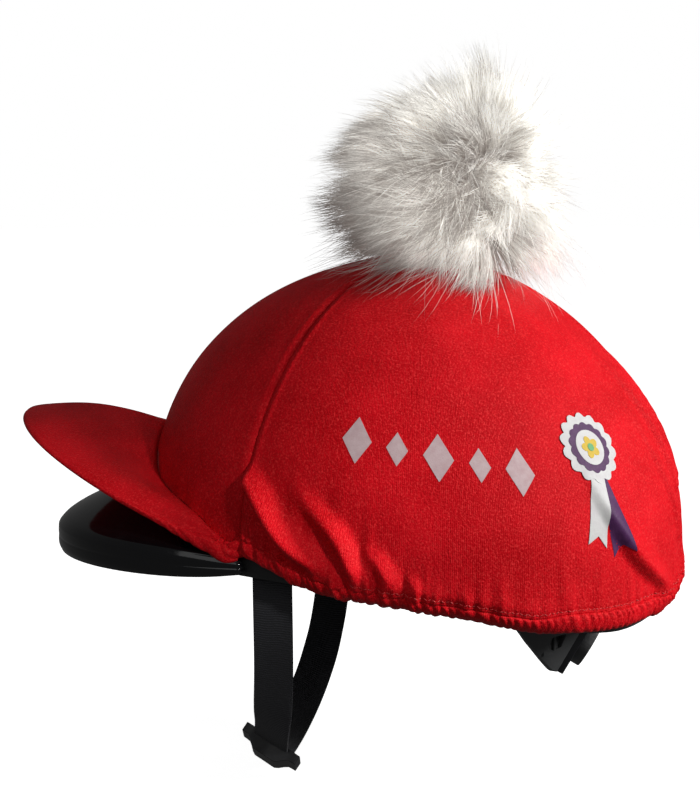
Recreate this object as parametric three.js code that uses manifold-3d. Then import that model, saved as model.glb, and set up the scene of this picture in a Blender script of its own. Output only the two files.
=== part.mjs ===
// A riding cap dressed for a race: a hard helmet with its own black peak, chin strap and nape cradle,
// under a stretch cloth cover of three panels with a cloth peak, a gathered elastic hem and a fur pompom.
// Millimetres. x runs to the wearer's left, y to the back of the head and z up.
// The origin is the middle of the head opening, level with the brow.
import * as THREE from "three";
import { mergeVertices } from "three/addons/utils/BufferGeometryUtils.js";
import Module from "manifold-3d";

const wasm = await Module();
wasm.setup();

const DEGREE = Math.PI / 180;
const FIT_GAP = 0.3; // air between two pieces that touch on the real cap
const RUN_GAP = 0.08; // air round the pin that turns

// Helmet shell: one hard dome with its padding, open below
const SHELL = {
  halfWidth: 109.5,
  halfLength: 137,
  top: 154,
  widest: 18, // height of the widest ring
  sideWall: 28,
  endWall: 30,
  topWall: 27,
  edgeRound: 10,
  frontFullness: 2.3, // powers of the dome's curve: larger is squarer
  backFullness: 1.68,
};

// Lower edge of the shell. turn is in degrees from the front, drop a share of napeDrop.
const RIM_FRONT = 5;
const NAPE_DROP = 27;
const RIM = [
  { turn: 0, drop: 0.02 },
  { turn: 60, drop: 0.0 },
  { turn: 72, drop: 0.04 },
  { turn: 86, drop: 0.14 },
  { turn: 106, drop: 0.42 },
  { turn: 118, drop: 0.66 },
  { turn: 130, drop: 0.9 },
  { turn: 145, drop: 1.0 },
  { turn: 160, drop: 0.84 },
  { turn: 180, drop: 0.52 },
];

// Stretch cloth of the cover
const CLOTH = { gap: 1.2, thick: 1.2, topHole: 6, topLift: 4, liftReach: 46 };
const SEAMS = { frontLow: 58, frontHigh: 63, back: 176 }; // degrees from the front

// Gathered elastic hem. rise is measured along the shell from its lower edge, a share of hemRise.
const HEM = { rise: 16, height: 9, thick: 1.8, ribs: 64, ribDepth: 1 };
const HEM_LINE = [
  { turn: 58, rise: 1.12 },
  { turn: 62, rise: 1.0 },
  { turn: 68, rise: 0.74 },
  { turn: 74, rise: 0.38 },
  { turn: 82, rise: 0.16 },
  { turn: 120, rise: 0.16 },
  { turn: 130, rise: 0.5 },
  { turn: 152, rise: 0.62 },
  { turn: 162, rise: 0.36 },
  { turn: 180, rise: 0.36 },
];

// Main folds of the side panels, from the hem upwards. at and lean are degrees, reach, half and high
// are shares of the named fold sizes below. The back seam gathers the cloth on its left.
const FOLD = { reach: 80, halfWidth: 9, height: 6 };
const FOLDS = [
  { at: 61, lean: 1, reach: 0.4, half: 0.45, high: 0.5 },
  { at: 68, lean: -2, reach: 0.25, half: 0.4, high: 0.4 },
  { at: 79, lean: -17, reach: 0.6, half: 0.8, high: 1.0 },
  { at: 87.5, lean: -13, reach: 0.6, half: 0.75, high: 0.85 },
  { at: 93, lean: -6, reach: 0.35, half: 0.55, high: 0.6 },
  { at: 99, lean: -4, reach: 0.3, half: 0.5, high: 0.45 },
  { at: 113, lean: -3, reach: 0.35, half: 0.6, high: 0.25 },
  { at: 126, lean: 1, reach: 0.35, half: 0.6, high: 0.25 },
  { at: 138, lean: -4, reach: 0.5, half: 0.6, high: 0.25 },
  { at: 155, lean: -14, reach: 0.8, half: 0.8, high: 0.6 },
  { at: 168, lean: 2, reach: 1.4, half: 0.75, high: 0.5 },
];

// Cloth peak: its outline in plan runs from the tip to the temples
const PEAK = {
  halfWidth: 97,
  tip: 210, // distance of the tip in front of the origin
  heel: 76, // and of its two ends
  turn: 57, // degrees from the front to an end, round the shell
  tipHeight: 73,
  endHeight: 17,
  thick: 3,
  crown: 5, // how much the middle of the sheet bows upwards
  inset: 1, // how far each side lies inside the hard peak's
};
const PEAK_ROOT_HEIGHT = 66;
// Height of the peak's root: share is 1 at the middle and 0 at the ends
const PEAK_ROOT = [
  { turn: 0, share: 1.0 },
  { turn: 0.2, share: 0.84 },
  { turn: 0.38, share: 0.62 },
  { turn: 0.56, share: 0.48 },
  { turn: 0.7, share: 0.4 },
  { turn: 0.84, share: 0.27 },
  { turn: 1.0, share: 0.0 },
];

// Hard peak of the helmet: a sloping plate with a deep rolled edge
const VISOR = {
  halfWidth: PEAK.halfWidth + PEAK.inset,
  tip: 189,
  heel: 70,
  turn: 57,
  rootHeight: 42,
  endHeight: 11,
  edgeLow: 4,
  edgeDeep: 15,
  endDeep: 7.5, // the edge tucks under the cloth at its ends
  plate: 3,
  edgeThick: 5,
  bow: 1.5,
};

// Pompom: a ball of fur that sits on the crown, on a post that passes through the cover's top hole
const POMPOM = { back: 19, overShell: 43, core: 50, fur: 72, lock: 15, tip: 2.5, locks: 58, post: 4 };

// Chin strap: one loop of webbing under the chin, hung from the rim at the temples. Angles in degrees
// run round the loop, from 0 at the left temple to 180 at the right one.
const STRAP = { width: 20, thick: 1.8, back: -58, halfSpan: 86, drop: 110, lean: 14 };
const TWIST = { turn: 33, from: 36, to: 52 }; // the webbing tips forwards to lie under the chin
// Fastened buckle, threaded on the loop: two flat ears with a swollen middle
const BUCKLE = { width: 33, length: 21, ear: 5, belly: 7.5, round: 1.5, at: 67 };

// Nape cradle with its round adjuster
const CRADLE = { thick: 3, topHeight: -8, reach: 76 };
const WINDOW = { wide: 9, tall: 7, turn: 30.5, up: 0.3 };
const CRADLE_DROP = 49;
const CRADLE_INSET = 27;
// Lower edge of the cradle: turn is in degrees from the back, low and inward are shares
const CRADLE_EDGE = [
  { turn: 0, low: 1.0, inward: 1.0 },
  { turn: 20, low: 1.0, inward: 0.92 },
  { turn: 33, low: 0.88, inward: 0.76 },
  { turn: 44, low: 0.64, inward: 0.54 },
  { turn: 50, low: 0.42, inward: 0.4 },
  { turn: 55, low: 0.2, inward: 0.3 },
  { turn: 62, low: 0.13, inward: 0.18 },
  { turn: 76, low: 0.12, inward: 0.1 },
];
const HOUSING = { halfWidth: 19, tall: 34, thick: 9 };
const DIAL = { radius: 13, edge: 3.2, dome: 3.2, ribs: 22, ribDepth: 0.8, pin: 3.5, pinLong: 5, centre: 19 };

// Value of a column in a table of named rows, eased between rows
function tableValue(rows, column, turn) {
  const x = Math.min(Math.max(turn, rows[0].turn), rows[rows.length - 1].turn);
  const i = Math.min(rows.findIndex((row, n) => n > 0 && x <= row.turn), rows.length - 1);
  const slope = (n) => {
    const before = rows[Math.max(n - 1, 0)];
    const after = rows[Math.min(n + 1, rows.length - 1)];
    return (after[column] - before[column]) / (after.turn - before.turn);
  };
  const [a, b] = [rows[i - 1], rows[i]];
  const span = b.turn - a.turn;
  const t = (x - a.turn) / span;
  const start = a[column] * (2 * t ** 3 - 3 * t ** 2 + 1) + b[column] * (3 * t ** 2 - 2 * t ** 3);
  return start + span * (slope(i - 1) * (t ** 3 - 2 * t ** 2 + t) + slope(i) * (t ** 3 - t ** 2));
}

// Turn from the front, in degrees from 0 to 180 on either side
const sideTurn = (turn) => Math.abs(((turn + 180) % 360) - 180);
const rimHeight = (turn) => RIM_FRONT - NAPE_DROP * tableValue(RIM, "drop", sideTurn(turn));
const roundLength = (Math.PI / 2) * SHELL.edgeRound;
const domeHeight = SHELL.top - SHELL.widest;

// Distance along the shell from its lower edge to the widest ring
const lengthToWidest = (turn) => roundLength + SHELL.widest - rimHeight(turn) - SHELL.edgeRound;

// Share of the full half size at a climb of the dome, 0 at the widest ring and a quarter turn at the top
function domeShare(turn, climb) {
  const mean = (SHELL.frontFullness + SHELL.backFullness) / 2;
  const swing = (SHELL.frontFullness - SHELL.backFullness) / 2;
  const power = mean + swing * Math.cos(turn * DEGREE);
  return Math.sqrt(Math.max(0, 1 - Math.sin(Math.max(climb, 0)) ** power));
}

// Distance along the shell at which it reaches a height
function lengthAtHeight(turn, height) {
  const base = lengthToWidest(turn);
  if (height <= SHELL.widest) return base - (SHELL.widest - height);
  return base + domeHeight * Math.asin(Math.min(1, (height - SHELL.widest) / domeHeight));
}

// Distance along the shell to the ring round the top whose half width is given
function lengthAtRing(turn, halfWidth) {
  const share = 1 - (halfWidth / SHELL.halfWidth) ** 2;
  return lengthToWidest(turn) + domeHeight * Math.asin(Math.sqrt(share));
}

// Point of the shell at a turn and a distance along it from the lower edge, moved outwards by out
function shellPoint(turn, along, out) {
  const low = rimHeight(turn);
  const climb = Math.max(0, (along - lengthToWidest(turn)) / domeHeight);
  const roll = Math.max(0, (roundLength - along) / SHELL.edgeRound);
  const share = domeShare(turn, climb);
  const inward = SHELL.edgeRound * (1 - Math.cos(roll));
  const outward = out * Math.cos(climb) * Math.cos(roll) - inward;
  let height = SHELL.widest + domeHeight * Math.sin(climb);
  if (climb === 0) height = low + SHELL.edgeRound + Math.max(0, along - roundLength);
  height -= SHELL.edgeRound * Math.sin(roll);
  height += out * (Math.sin(climb) - Math.sin(roll));
  const wide = SHELL.halfWidth * share + outward;
  const long = SHELL.halfLength * share + outward;
  return new THREE.Vector3(
    wide * Math.sin(turn * DEGREE),
    -long * Math.cos(turn * DEGREE),
    height,
  );
}

// Point of the helmet's hollow at a turn and a share of the way from its lower edge to its top
function hollowPoint(turn, share, inset = 0) {
  const low = (rimHeight(turn) - SHELL.widest) / domeHeight;
  const climb = low + (Math.PI / 2 - low) * share;
  const flat = domeShare(turn, climb);
  const wide = (SHELL.halfWidth - SHELL.sideWall - inset) * flat;
  const long = (SHELL.halfLength - SHELL.endWall - inset) * flat;
  const hollowRise = domeHeight - SHELL.topWall - inset;
  return new THREE.Vector3(
    wide * Math.sin(turn * DEGREE),
    -long * Math.cos(turn * DEGREE),
    climb < 0 ? SHELL.widest + domeHeight * climb : SHELL.widest + hollowRise * Math.sin(climb),
  );
}

const hemStart = (turn) => HEM.rise * tableValue(HEM_LINE, "rise", sideTurn(turn));

// Seam of the front panel at a distance along the shell: it drifts back as it climbs
function frontSeamTurn(along) {
  const full = lengthAtRing(SEAMS.frontLow, CLOTH.topHole);
  return SEAMS.frontLow + ((SEAMS.frontHigh - SEAMS.frontLow) * along) / full;
}

// The same seam at a share of the way from a panel's lower edge to the top hole
function seamAtShare(lowerEdge, share) {
  const low = lowerEdge(SEAMS.frontLow);
  return frontSeamTurn(low + (lengthAtRing(SEAMS.frontLow, CLOTH.topHole) - low) * share);
}

// How far the folds lift the cloth at a turn and a distance above the hem
function foldLift(turn, above) {
  const around = sideTurn(turn);
  const radius = (SHELL.halfWidth + SHELL.halfLength) / 2;
  const lifts = FOLDS.map((fold) => {
    const climbed = Math.max(0, above) / (FOLD.reach * fold.reach);
    if (climbed >= 1) return 0;
    const away = (around - fold.at - fold.lean * climbed) * DEGREE * radius;
    const pinched = 0.5 + 0.5 * THREE.MathUtils.smoothstep(climbed, 0, 0.25);
    const height = FOLD.height * fold.high * (1 - climbed * climbed) * pinched;
    return height * Math.exp(-((away / (FOLD.halfWidth * fold.half)) ** 2));
  });
  return Math.max(...lifts);
}

// The cloth is drawn up round the pompom's post
function topLift(point) {
  const away = Math.hypot(point.x, point.y) / CLOTH.liftReach;
  return CLOTH.topLift * Math.max(0, 1 - away) ** 2;
}

// Closed solid between an outer and an inner grid of points. Rows may run on into a loop.
function wall(outer, inner, loop = false) {
  const rows = outer.length;
  const columns = outer[0].length;
  const points = [...outer.flat(), ...inner.flat()];
  const out = (r, c) => (r % rows) * columns + c;
  const into = (r, c) => rows * columns + out(r, c);
  const faces = [];
  const quad = (a, b, c, d) => faces.push([a, b, c], [a, c, d]);
  for (let r = 0; r < (loop ? rows : rows - 1); r++) {
    for (let c = 0; c < columns - 1; c++) {
      quad(out(r, c), out(r + 1, c), out(r + 1, c + 1), out(r, c + 1));
      quad(into(r, c), into(r, c + 1), into(r + 1, c + 1), into(r + 1, c));
    }
    quad(out(r, 0), into(r, 0), into(r + 1, 0), out(r + 1, 0));
    const last = columns - 1;
    quad(out(r, last), out(r + 1, last), into(r + 1, last), into(r, last));
  }
  for (let c = 0; c < columns - 1 && !loop; c++) {
    quad(out(0, c), out(0, c + 1), into(0, c + 1), into(0, c));
    const end = rows - 1;
    quad(out(end, c), into(end, c), into(end, c + 1), out(end, c + 1));
  }
  const apart = (a, b) => points[a].distanceTo(points[b]) > 1e-4;
  const kept = faces.filter(([a, b, c]) => apart(a, b) && apart(b, c) && apart(c, a));
  const geometry = new THREE.BufferGeometry().setFromPoints(points);
  geometry.setIndex(kept.flat());
  return tidy(geometry);
}

// A geometry with shared corners only, as a solid needs them
function tidy(geometry) {
  const bare = geometry.clone();
  bare.deleteAttribute("normal");
  bare.deleteAttribute("uv");
  return mergeVertices(bare, 1e-3);
}

function toManifold(geometry) {
  const bare = tidy(geometry);
  return new wasm.Manifold(
    new wasm.Mesh({
      numProp: 3,
      vertProperties: bare.attributes.position.array,
      triVerts: new Uint32Array(bare.index.array),
    }),
  );
}

function fromManifold(solid) {
  const mesh = solid.getMesh();
  const geometry = new THREE.BufferGeometry();
  geometry.setAttribute("position", new THREE.BufferAttribute(mesh.vertProperties, 3));
  geometry.setIndex(new THREE.BufferAttribute(mesh.triVerts, 1));
  return geometry;
}

const steps = (count) => Array.from({ length: count + 1 }, (_, i) => i / count);

// Helmet shell, a cup with a thick wall
function makeShell() {
  const columns = 36;
  const climbs = [0, 0.35, 0.7, 1].map((share) => share * roundLength);
  const domeRows = steps(8).slice(1);
  const turns = steps(columns).slice(0, columns).map((share) => share * 360);
  const outer = turns.map((turn) => {
    const top = lengthToWidest(turn) + (domeHeight * Math.PI) / 2;
    const dome = domeRows.map((share) => roundLength + (top - roundLength) * share);
    return [...climbs, ...dome].map((along) => shellPoint(turn, along, 0));
  });
  const hollowRows = steps(climbs.length + domeRows.length - 1);
  const inner = turns.map((turn) => hollowRows.map((share) => hollowPoint(turn, share)));
  return wall(outer, inner, true);
}

// One cloth panel between two seams, from its lower edge to the top hole
function makePanel(columns, seamAt, lowerEdge, folded) {
  const rows = [0, 0.06, 0.13, 0.21, 0.3, 0.4, 0.51, 0.63, 0.76, 0.88, 1];
  const grid = (out) =>
    steps(columns).map((across) =>
      rows.map((share) => {
        const [from, to] = seamAt(share);
        const bare = from + (to - from) * across;
        const along = lowerEdge(bare) + (lengthAtRing(bare, CLOTH.topHole) - lowerEdge(bare)) * share;
        const ring = Math.hypot(shellPoint(bare, along, 0).x, shellPoint(bare, along, 0).y);
        const halfGap = FIT_GAP / 2 / ring / DEGREE;
        const turn = bare + halfGap * (1 - 2 * across);
        const lift = folded ? foldLift(turn, along - lowerEdge(turn)) : 0;
        const point = shellPoint(turn, along, CLOTH.gap + lift + out);
        point.z += topLift(point);
        return point;
      }),
    );
  return wall(grid(CLOTH.thick), grid(0));
}

const peakRootHeight = (turn) => {
  const share = tableValue(PEAK_ROOT, "share", sideTurn(turn) / PEAK.turn);
  return PEAK.endHeight + (PEAK_ROOT_HEIGHT - PEAK.endHeight) * share;
};

function makeFrontPanel() {
  const lowerEdge = (turn) => lengthAtHeight(turn, peakRootHeight(turn) - PEAK.thick / 2);
  const seams = (share) => [-1, 1].map((side) => side * seamAtShare(lowerEdge, share));
  return makePanel(18, seams, lowerEdge, false);
}

const stitchLine = (turn) => hemStart(turn) + HEM.height + 2 * FIT_GAP;

function makeLeftPanel() {
  const seams = (share) => [seamAtShare(stitchLine, share), SEAMS.back];
  return makePanel(33, seams, stitchLine, true);
}

function makeRightPanel() {
  const seams = (share) => [SEAMS.back, 360 - seamAtShare(stitchLine, share)];
  return makePanel(33, seams, stitchLine, true);
}

// Gathered hem: a ribbed band along the lower edge, from one end of the peak round the back to the other
function makeHem() {
  const perRib = 2;
  const columns = HEM.ribs * perRib;
  const rows = [0, 0.5, 1];
  const grid = (out) =>
    steps(columns).map((across, i) => {
      const rib = out > 0 && i % perRib === 1 ? HEM.ribDepth : 0;
      return rows.map((share) => {
        const seam = frontSeamTurn(HEM.rise + HEM.height * share);
        const start = seam + FIT_GAP / SHELL.halfWidth / DEGREE;
        const turn = start + (360 - 2 * start) * across;
        const lift = foldLift(turn, 0) * share;
        return shellPoint(turn, hemStart(turn) + HEM.height * share, CLOTH.gap + lift + out + rib);
      });
    });
  return wall(grid(HEM.thick), grid(0));
}

// Plan outline of a peak: from one end (-1) over the tip (0) to the other end (1)
function peakOutline(size, share, power) {
  const bend = (share * Math.PI) / 2;
  const side = Math.sign(Math.sin(bend)) * Math.abs(Math.sin(bend)) ** power;
  const ahead = Math.abs(Math.cos(bend)) ** power;
  return [size.halfWidth * side, -size.heel - (size.tip - size.heel) * ahead];
}

function makeClothPeak() {
  const across = steps(26).map((share) => share * 2 - 1);
  const ways = steps(5);
  const grid = (down) =>
    across.map((share) => {
      const turn = share * PEAK.turn;
      const seamOut = CLOTH.gap + CLOTH.thick + FIT_GAP;
      const root = shellPoint(turn, lengthAtHeight(turn, peakRootHeight(turn) - down), seamOut);
      const [x, y] = peakOutline(PEAK, share, 1);
      const sag = (1 - Math.cos((share * Math.PI) / 2)) ** 0.95;
      const edge = new THREE.Vector3(x, y, PEAK.tipHeight - (PEAK.tipHeight - PEAK.endHeight) * sag);
      edge.z -= 0.6 * down;
      return ways.map((way) => {
        const point = root.clone().lerp(edge, way);
        point.z += PEAK.crown * Math.sin(way * Math.PI);
        return point;
      });
    });
  return wall(grid(0).map((row) => row.reverse()), grid(PEAK.thick).map((row) => row.reverse()));
}

// Hard peak: top plate, rolled edge and the hollow underneath, as one section swept round the front
function hardPeakSection(share, under) {
  const turn = share * VISOR.turn;
  const deep = VISOR.edgeDeep - (VISOR.edgeDeep - VISOR.endDeep) * share ** 10;
  const low = VISOR.edgeLow;
  const top = low + deep;
  const thick = under ? (VISOR.plate * deep) / VISOR.edgeDeep : 0;
  const rise = Math.cos((share * Math.PI) / 2);
  const rootHeight = VISOR.endHeight + (VISOR.rootHeight - VISOR.endHeight) * rise - thick;
  const root = shellPoint(turn, Math.max(roundLength, lengthAtHeight(turn, rootHeight)), FIT_GAP);
  root.z = rootHeight;
  const [x, y] = peakOutline(VISOR, share, 0.85);
  const edge = new THREE.Vector3(x, y, top - thick);
  const inward = new THREE.Vector3(root.x - x, root.y - y, 0);
  const bow = VISOR.bow * Math.min(1, inward.length() / VISOR.rootHeight);
  const band = Math.min(VISOR.edgeThick, 0.7 * inward.length());
  inward.normalize();
  const plate = (t) => {
    const point = root.clone().lerp(edge, t);
    point.z += bow * Math.sin(t * Math.PI);
    return point;
  };
  const at = (inset, up) => new THREE.Vector3(x, y, low + up * deep).addScaledVector(inward, inset * band);
  const fall = under
    ? [at(1, 0.76), at(1, 0.5), at(1, 0.2), at(0.75, 0)]
    : [at(0.16, 0.9), at(0, 0.72), at(0, 0.2), at(0.24, 0)];
  return [...[0, 0.3, 0.6, under ? 0.85 : 0.88].map(plate), ...fall].reverse();
}

function makeHardPeak() {
  const across = steps(26).map((share) => share * 2 - 1);
  return wall(
    across.map((share) => hardPeakSection(share, false)),
    across.map((share) => hardPeakSection(share, true)),
  );
}

// Repeatable scatter between 0 and 1
const scatter = (n) => Math.abs((Math.sin(n * 12.9898) * 43758.5453) % 1);

// Solid inside the cover's outer face grown by out, to cut what rests on the crown
function crownSolid(out) {
  const turns = steps(36).slice(0, 36).map((share) => share * 360);
  const centre = new THREE.Vector3(0, 0, SHELL.widest);
  const outer = turns.map((turn) =>
    steps(14).map((share) => {
      const full = lengthToWidest(turn) + (domeHeight * Math.PI) / 2;
      const along = lengthToWidest(turn) + (full - lengthToWidest(turn)) * share;
      const point = shellPoint(turn, along, CLOTH.gap + CLOTH.thick + out);
      point.z += topLift(point);
      return point;
    }),
  );
  return toManifold(wall(outer, outer.map((row) => row.map(() => centre)), true));
}

// Pompom: a core and tapering locks of fur all round, rested on the crown, with its post
function makePompom() {
  const centre = new THREE.Vector3(0, POMPOM.back, SHELL.top + POMPOM.overShell);
  const core = new THREE.IcosahedronGeometry(POMPOM.core, 2);
  let ball = toManifold(core.translate(centre.x, centre.y, centre.z));
  const golden = Math.PI * (3 - Math.sqrt(5));
  for (let i = 0; i < POMPOM.locks; i++) {
    const up = 1 - (2 * (i + 0.5)) / POMPOM.locks;
    const flat = Math.sqrt(1 - up * up);
    const aim = new THREE.Vector3(flat * Math.cos(i * golden), flat * Math.sin(i * golden), up);
    const brow = 0.3 * Math.max(0, -aim.y) * Math.max(0, aim.z);
    const length = POMPOM.fur * (0.92 + 0.08 * scatter(i) - brow + 0.05 * Math.max(0, -aim.y));
    const lock = new THREE.CylinderGeometry(POMPOM.tip, POMPOM.lock, length - POMPOM.core / 2, 4);
    lock.translate(0, (length + POMPOM.core / 2) / 2, 0);
    const swing = new THREE.Quaternion().setFromUnitVectors(new THREE.Vector3(0, 1, 0), aim);
    lock.applyQuaternion(swing).translate(centre.x, centre.y, centre.z);
    ball = ball.add(toManifold(lock));
  }
  ball = ball.subtract(crownSolid(2 * FIT_GAP));
  const post = new THREE.CylinderGeometry(POMPOM.post, POMPOM.post, POMPOM.overShell, 12);
  post.rotateX(Math.PI / 2).translate(0, 0, SHELL.top + FIT_GAP + POMPOM.overShell / 2);
  return fromManifold(ball.add(toManifold(post)));
}

// Centre of the chin strap's loop at an angle: 0 at the left temple, 180 at the right one
function strapPoint(angle) {
  const round = Math.sin(angle * DEGREE);
  const across = Math.sign(Math.cos(angle * DEGREE)) * Math.abs(Math.cos(angle * DEGREE)) ** 0.8;
  const hang = rimHeight(strapTurn + STRAP.width / 2) - FIT_GAP;
  return new THREE.Vector3(
    STRAP.halfSpan * across,
    STRAP.back - STRAP.lean * round ** 3,
    hang - STRAP.drop * round,
  );
}
const strapTurn = Math.atan2(
  STRAP.halfSpan / SHELL.halfWidth,
  -STRAP.back / SHELL.halfLength,
) / DEGREE;

// Frame of the strap: along it, across the webbing and outwards from the loop
function strapFrame(angle) {
  const ahead = strapPoint(Math.min(angle + 1, 180));
  const run = ahead.sub(strapPoint(Math.max(angle - 1, 0))).normalize();
  const near = Math.min(angle, 180 - angle);
  const eased = THREE.MathUtils.smoothstep(near, TWIST.from, TWIST.to);
  const twist = TWIST.turn * DEGREE * eased;
  const flat = new THREE.Vector3(0, Math.cos(twist), -Math.sin(twist));
  const width = flat.addScaledVector(run, -flat.dot(run)).normalize();
  return { run, width, out: new THREE.Vector3().crossVectors(run, width).normalize() };
}

// The webbing between two angles of the loop, grown on every side by grow
function makeStrap(from, to, count, grow = 0) {
  const grid = (side) =>
    steps(count).map((share) => {
      const angle = from + (to - from) * share;
      const { width, out } = strapFrame(angle);
      return [-1, 1].map((half) =>
        strapPoint(angle)
          .addScaledVector(width, half * (STRAP.width / 2 + grow))
          .addScaledVector(out, side * (STRAP.thick / 2 + grow)),
      );
    });
  return wall(grid(1), grid(-1));
}

// The buckle's section across the webbing, drawn out along it, with a slot for the webbing
function makeBuckle() {
  const half = BUCKLE.width / 2 - BUCKLE.round;
  const ear = BUCKLE.ear / 2 - BUCKLE.round;
  const belly = BUCKLE.belly - BUCKLE.round;
  const outline = new THREE.Shape();
  outline.moveTo(-half, -ear);
  outline.lineTo(half, -ear);
  outline.lineTo(half, ear);
  outline.quadraticCurveTo(0.68 * half, ear, 0.5 * half, 0.75 * belly);
  outline.quadraticCurveTo(0, 1.3 * belly, -0.5 * half, 0.75 * belly);
  outline.quadraticCurveTo(-0.68 * half, ear, -half, ear);
  outline.closePath();
  const block = new THREE.ExtrudeGeometry(outline, {
    depth: BUCKLE.length - 2 * BUCKLE.round,
    bevelThickness: BUCKLE.round,
    bevelSize: BUCKLE.round,
    bevelSegments: 2,
    curveSegments: 5,
  });
  block.translate(0, 0, BUCKLE.round - BUCKLE.length / 2);
  const { run, width, out } = strapFrame(BUCKLE.at);
  const place = new THREE.Matrix4().makeBasis(width, out, run);
  place.setPosition(strapPoint(BUCKLE.at));
  const slot = makeStrap(BUCKLE.at - 22, BUCKLE.at + 22, 22, FIT_GAP);
  return fromManifold(toManifold(block.applyMatrix4(place)).subtract(toManifold(slot)));
}

// Axis of the adjuster, square to the sloping back of the cradle
const cradleSlope = Math.atan2(CRADLE_INSET, CRADLE_DROP);
const dialAxis = new THREE.Vector3(0, Math.cos(cradleSlope), -Math.sin(cradleSlope));
const dialUp = new THREE.Vector3(0, Math.sin(cradleSlope), Math.cos(cradleSlope));

// Lower and upper edge of the cradle's strip, at a turn from the back in degrees
function cradleEdge(turn, upper, inset) {
  const away = Math.abs(turn);
  const inward = upper ? 0 : CRADLE_INSET * tableValue(CRADLE_EDGE, "inward", away);
  const low = upper ? 0 : CRADLE_DROP * tableValue(CRADLE_EDGE, "low", away);
  const wide = SHELL.halfWidth - SHELL.sideWall - 2 * FIT_GAP - inward * 0.5 - inset;
  const long = SHELL.halfLength - SHELL.endWall - 2 * FIT_GAP - inward - inset;
  return new THREE.Vector3(
    wide * Math.sin(turn * DEGREE),
    long * Math.cos(turn * DEGREE),
    CRADLE.topHeight - low,
  );
}

// Lowest corner of the housing's sloping back face
const housingFoot = cradleEdge(0, false, 0).addScaledVector(dialAxis, 1.5);

// A box in the housing's own frame: across, up the sloping face and through it
function housingBox(halfWide, fromUp, toUp, fromOut, toOut) {
  const box = new THREE.BoxGeometry(2 * halfWide, toUp - fromUp, toOut - fromOut);
  box.translate(0, (fromUp + toUp) / 2, (fromOut + toOut) / 2);
  const frame = new THREE.Matrix4().makeBasis(new THREE.Vector3(-1, 0, 0), dialUp, dialAxis);
  return toManifold(box.applyMatrix4(frame.setPosition(housingFoot)));
}

function dialCylinder(radius, from, to, sides) {
  const rod = new THREE.CylinderGeometry(radius, radius, to - from, sides).rotateX(Math.PI / 2);
  rod.translate(0, DIAL.centre, (from + to) / 2);
  const frame = new THREE.Matrix4().makeBasis(new THREE.Vector3(-1, 0, 0), dialUp, dialAxis);
  return toManifold(rod.applyMatrix4(frame.setPosition(housingFoot)));
}

function makeCradle() {
  const turns = steps(24).map((share) => (share * 2 - 1) * CRADLE.reach);
  const ways = [0, 0.5, 1];
  const grid = (inset) =>
    turns.map((turn) =>
      ways.map((way) => cradleEdge(turn, false, inset).lerp(cradleEdge(turn, true, inset), way)),
    );
  let strip = toManifold(wall(grid(CRADLE.thick), grid(0)));
  const housing = housingBox(HOUSING.halfWidth, 0, HOUSING.tall, -HOUSING.thick, 0);
  strip = strip.add(housing);
  strip = strip.subtract(dialCylinder(DIAL.pin + RUN_GAP, -DIAL.pinLong - FIT_GAP, 2, 24));
  for (const side of [-1, 1]) {
    const turn = WINDOW.turn * side;
    const middle = cradleEdge(turn, false, 0).lerp(cradleEdge(turn, true, 0), WINDOW.up);
    const window = new THREE.BoxGeometry(WINDOW.wide, 20, WINDOW.tall);
    window.rotateZ(-turn * DEGREE).translate(middle.x, middle.y, middle.z);
    strip = strip.subtract(toManifold(window));
  }
  return fromManifold(strip);
}

// Ribbed adjuster wheel with a pin that turns in the housing
function makeDial() {
  const rim = new THREE.Shape();
  for (let i = 0; i < DIAL.ribs * 2; i++) {
    const radius = DIAL.radius - (i % 2) * DIAL.ribDepth;
    const angle = (i / DIAL.ribs) * Math.PI;
    const spot = [radius * Math.cos(angle), radius * Math.sin(angle)];
    if (i === 0) rim.moveTo(...spot);
    else rim.lineTo(...spot);
  }
  rim.closePath();
  const height = DIAL.edge + DIAL.dome;
  const wheel = new THREE.ExtrudeGeometry(rim, { depth: height, bevelEnabled: false });
  wheel.translate(0, DIAL.centre, FIT_GAP);
  const ball = (DIAL.radius ** 2 + DIAL.dome ** 2) / (2 * DIAL.dome);
  const dome = new THREE.SphereGeometry(ball, 32, 24).rotateX(Math.PI / 2);
  dome.translate(0, DIAL.centre, FIT_GAP + height - ball);
  const frame = new THREE.Matrix4().makeBasis(new THREE.Vector3(-1, 0, 0), dialUp, dialAxis);
  frame.setPosition(housingFoot);
  const disc = toManifold(wheel.applyMatrix4(frame)).intersect(toManifold(dome.applyMatrix4(frame)));
  return fromManifold(disc.add(dialCylinder(DIAL.pin, -DIAL.pinLong, DIAL.edge, 24)));
}

const finish = (color, roughness, metalness = 0) =>
  new THREE.MeshStandardMaterial({ color, roughness, metalness });
const clothRed = finish(0xc8141e, 0.5);
const glossBlack = finish(0x101012, 0.15);
const webbingBlack = finish(0x17181a, 0.85);
const plasticBlack = finish(0x232426, 0.5);
const furWhite = finish(0xe6e2dc, 0.9);

const cap = new THREE.Group();
function addPiece(name, geometry, material) {
  const mesh = new THREE.Mesh(geometry, material);
  mesh.name = name;
  cap.add(mesh);
}

addPiece("helmet_shell", makeShell(), glossBlack);
addPiece("hard_peak", makeHardPeak(), glossBlack);
addPiece("front_panel", makeFrontPanel(), clothRed);
addPiece("left_panel", makeLeftPanel(), clothRed);
addPiece("right_panel", makeRightPanel(), clothRed);
addPiece("cloth_peak", makeClothPeak(), clothRed);
addPiece("elastic_hem", makeHem(), clothRed);
addPiece("pompom", makePompom(), furWhite);
addPiece("chin_strap", makeStrap(0, 180, 48), webbingBlack);
addPiece("chin_buckle", makeBuckle(), plasticBlack);
addPiece("nape_cradle", makeCradle(), plasticBlack);
addPiece("adjuster_dial", makeDial(), plasticBlack);

export default cap;
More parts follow.
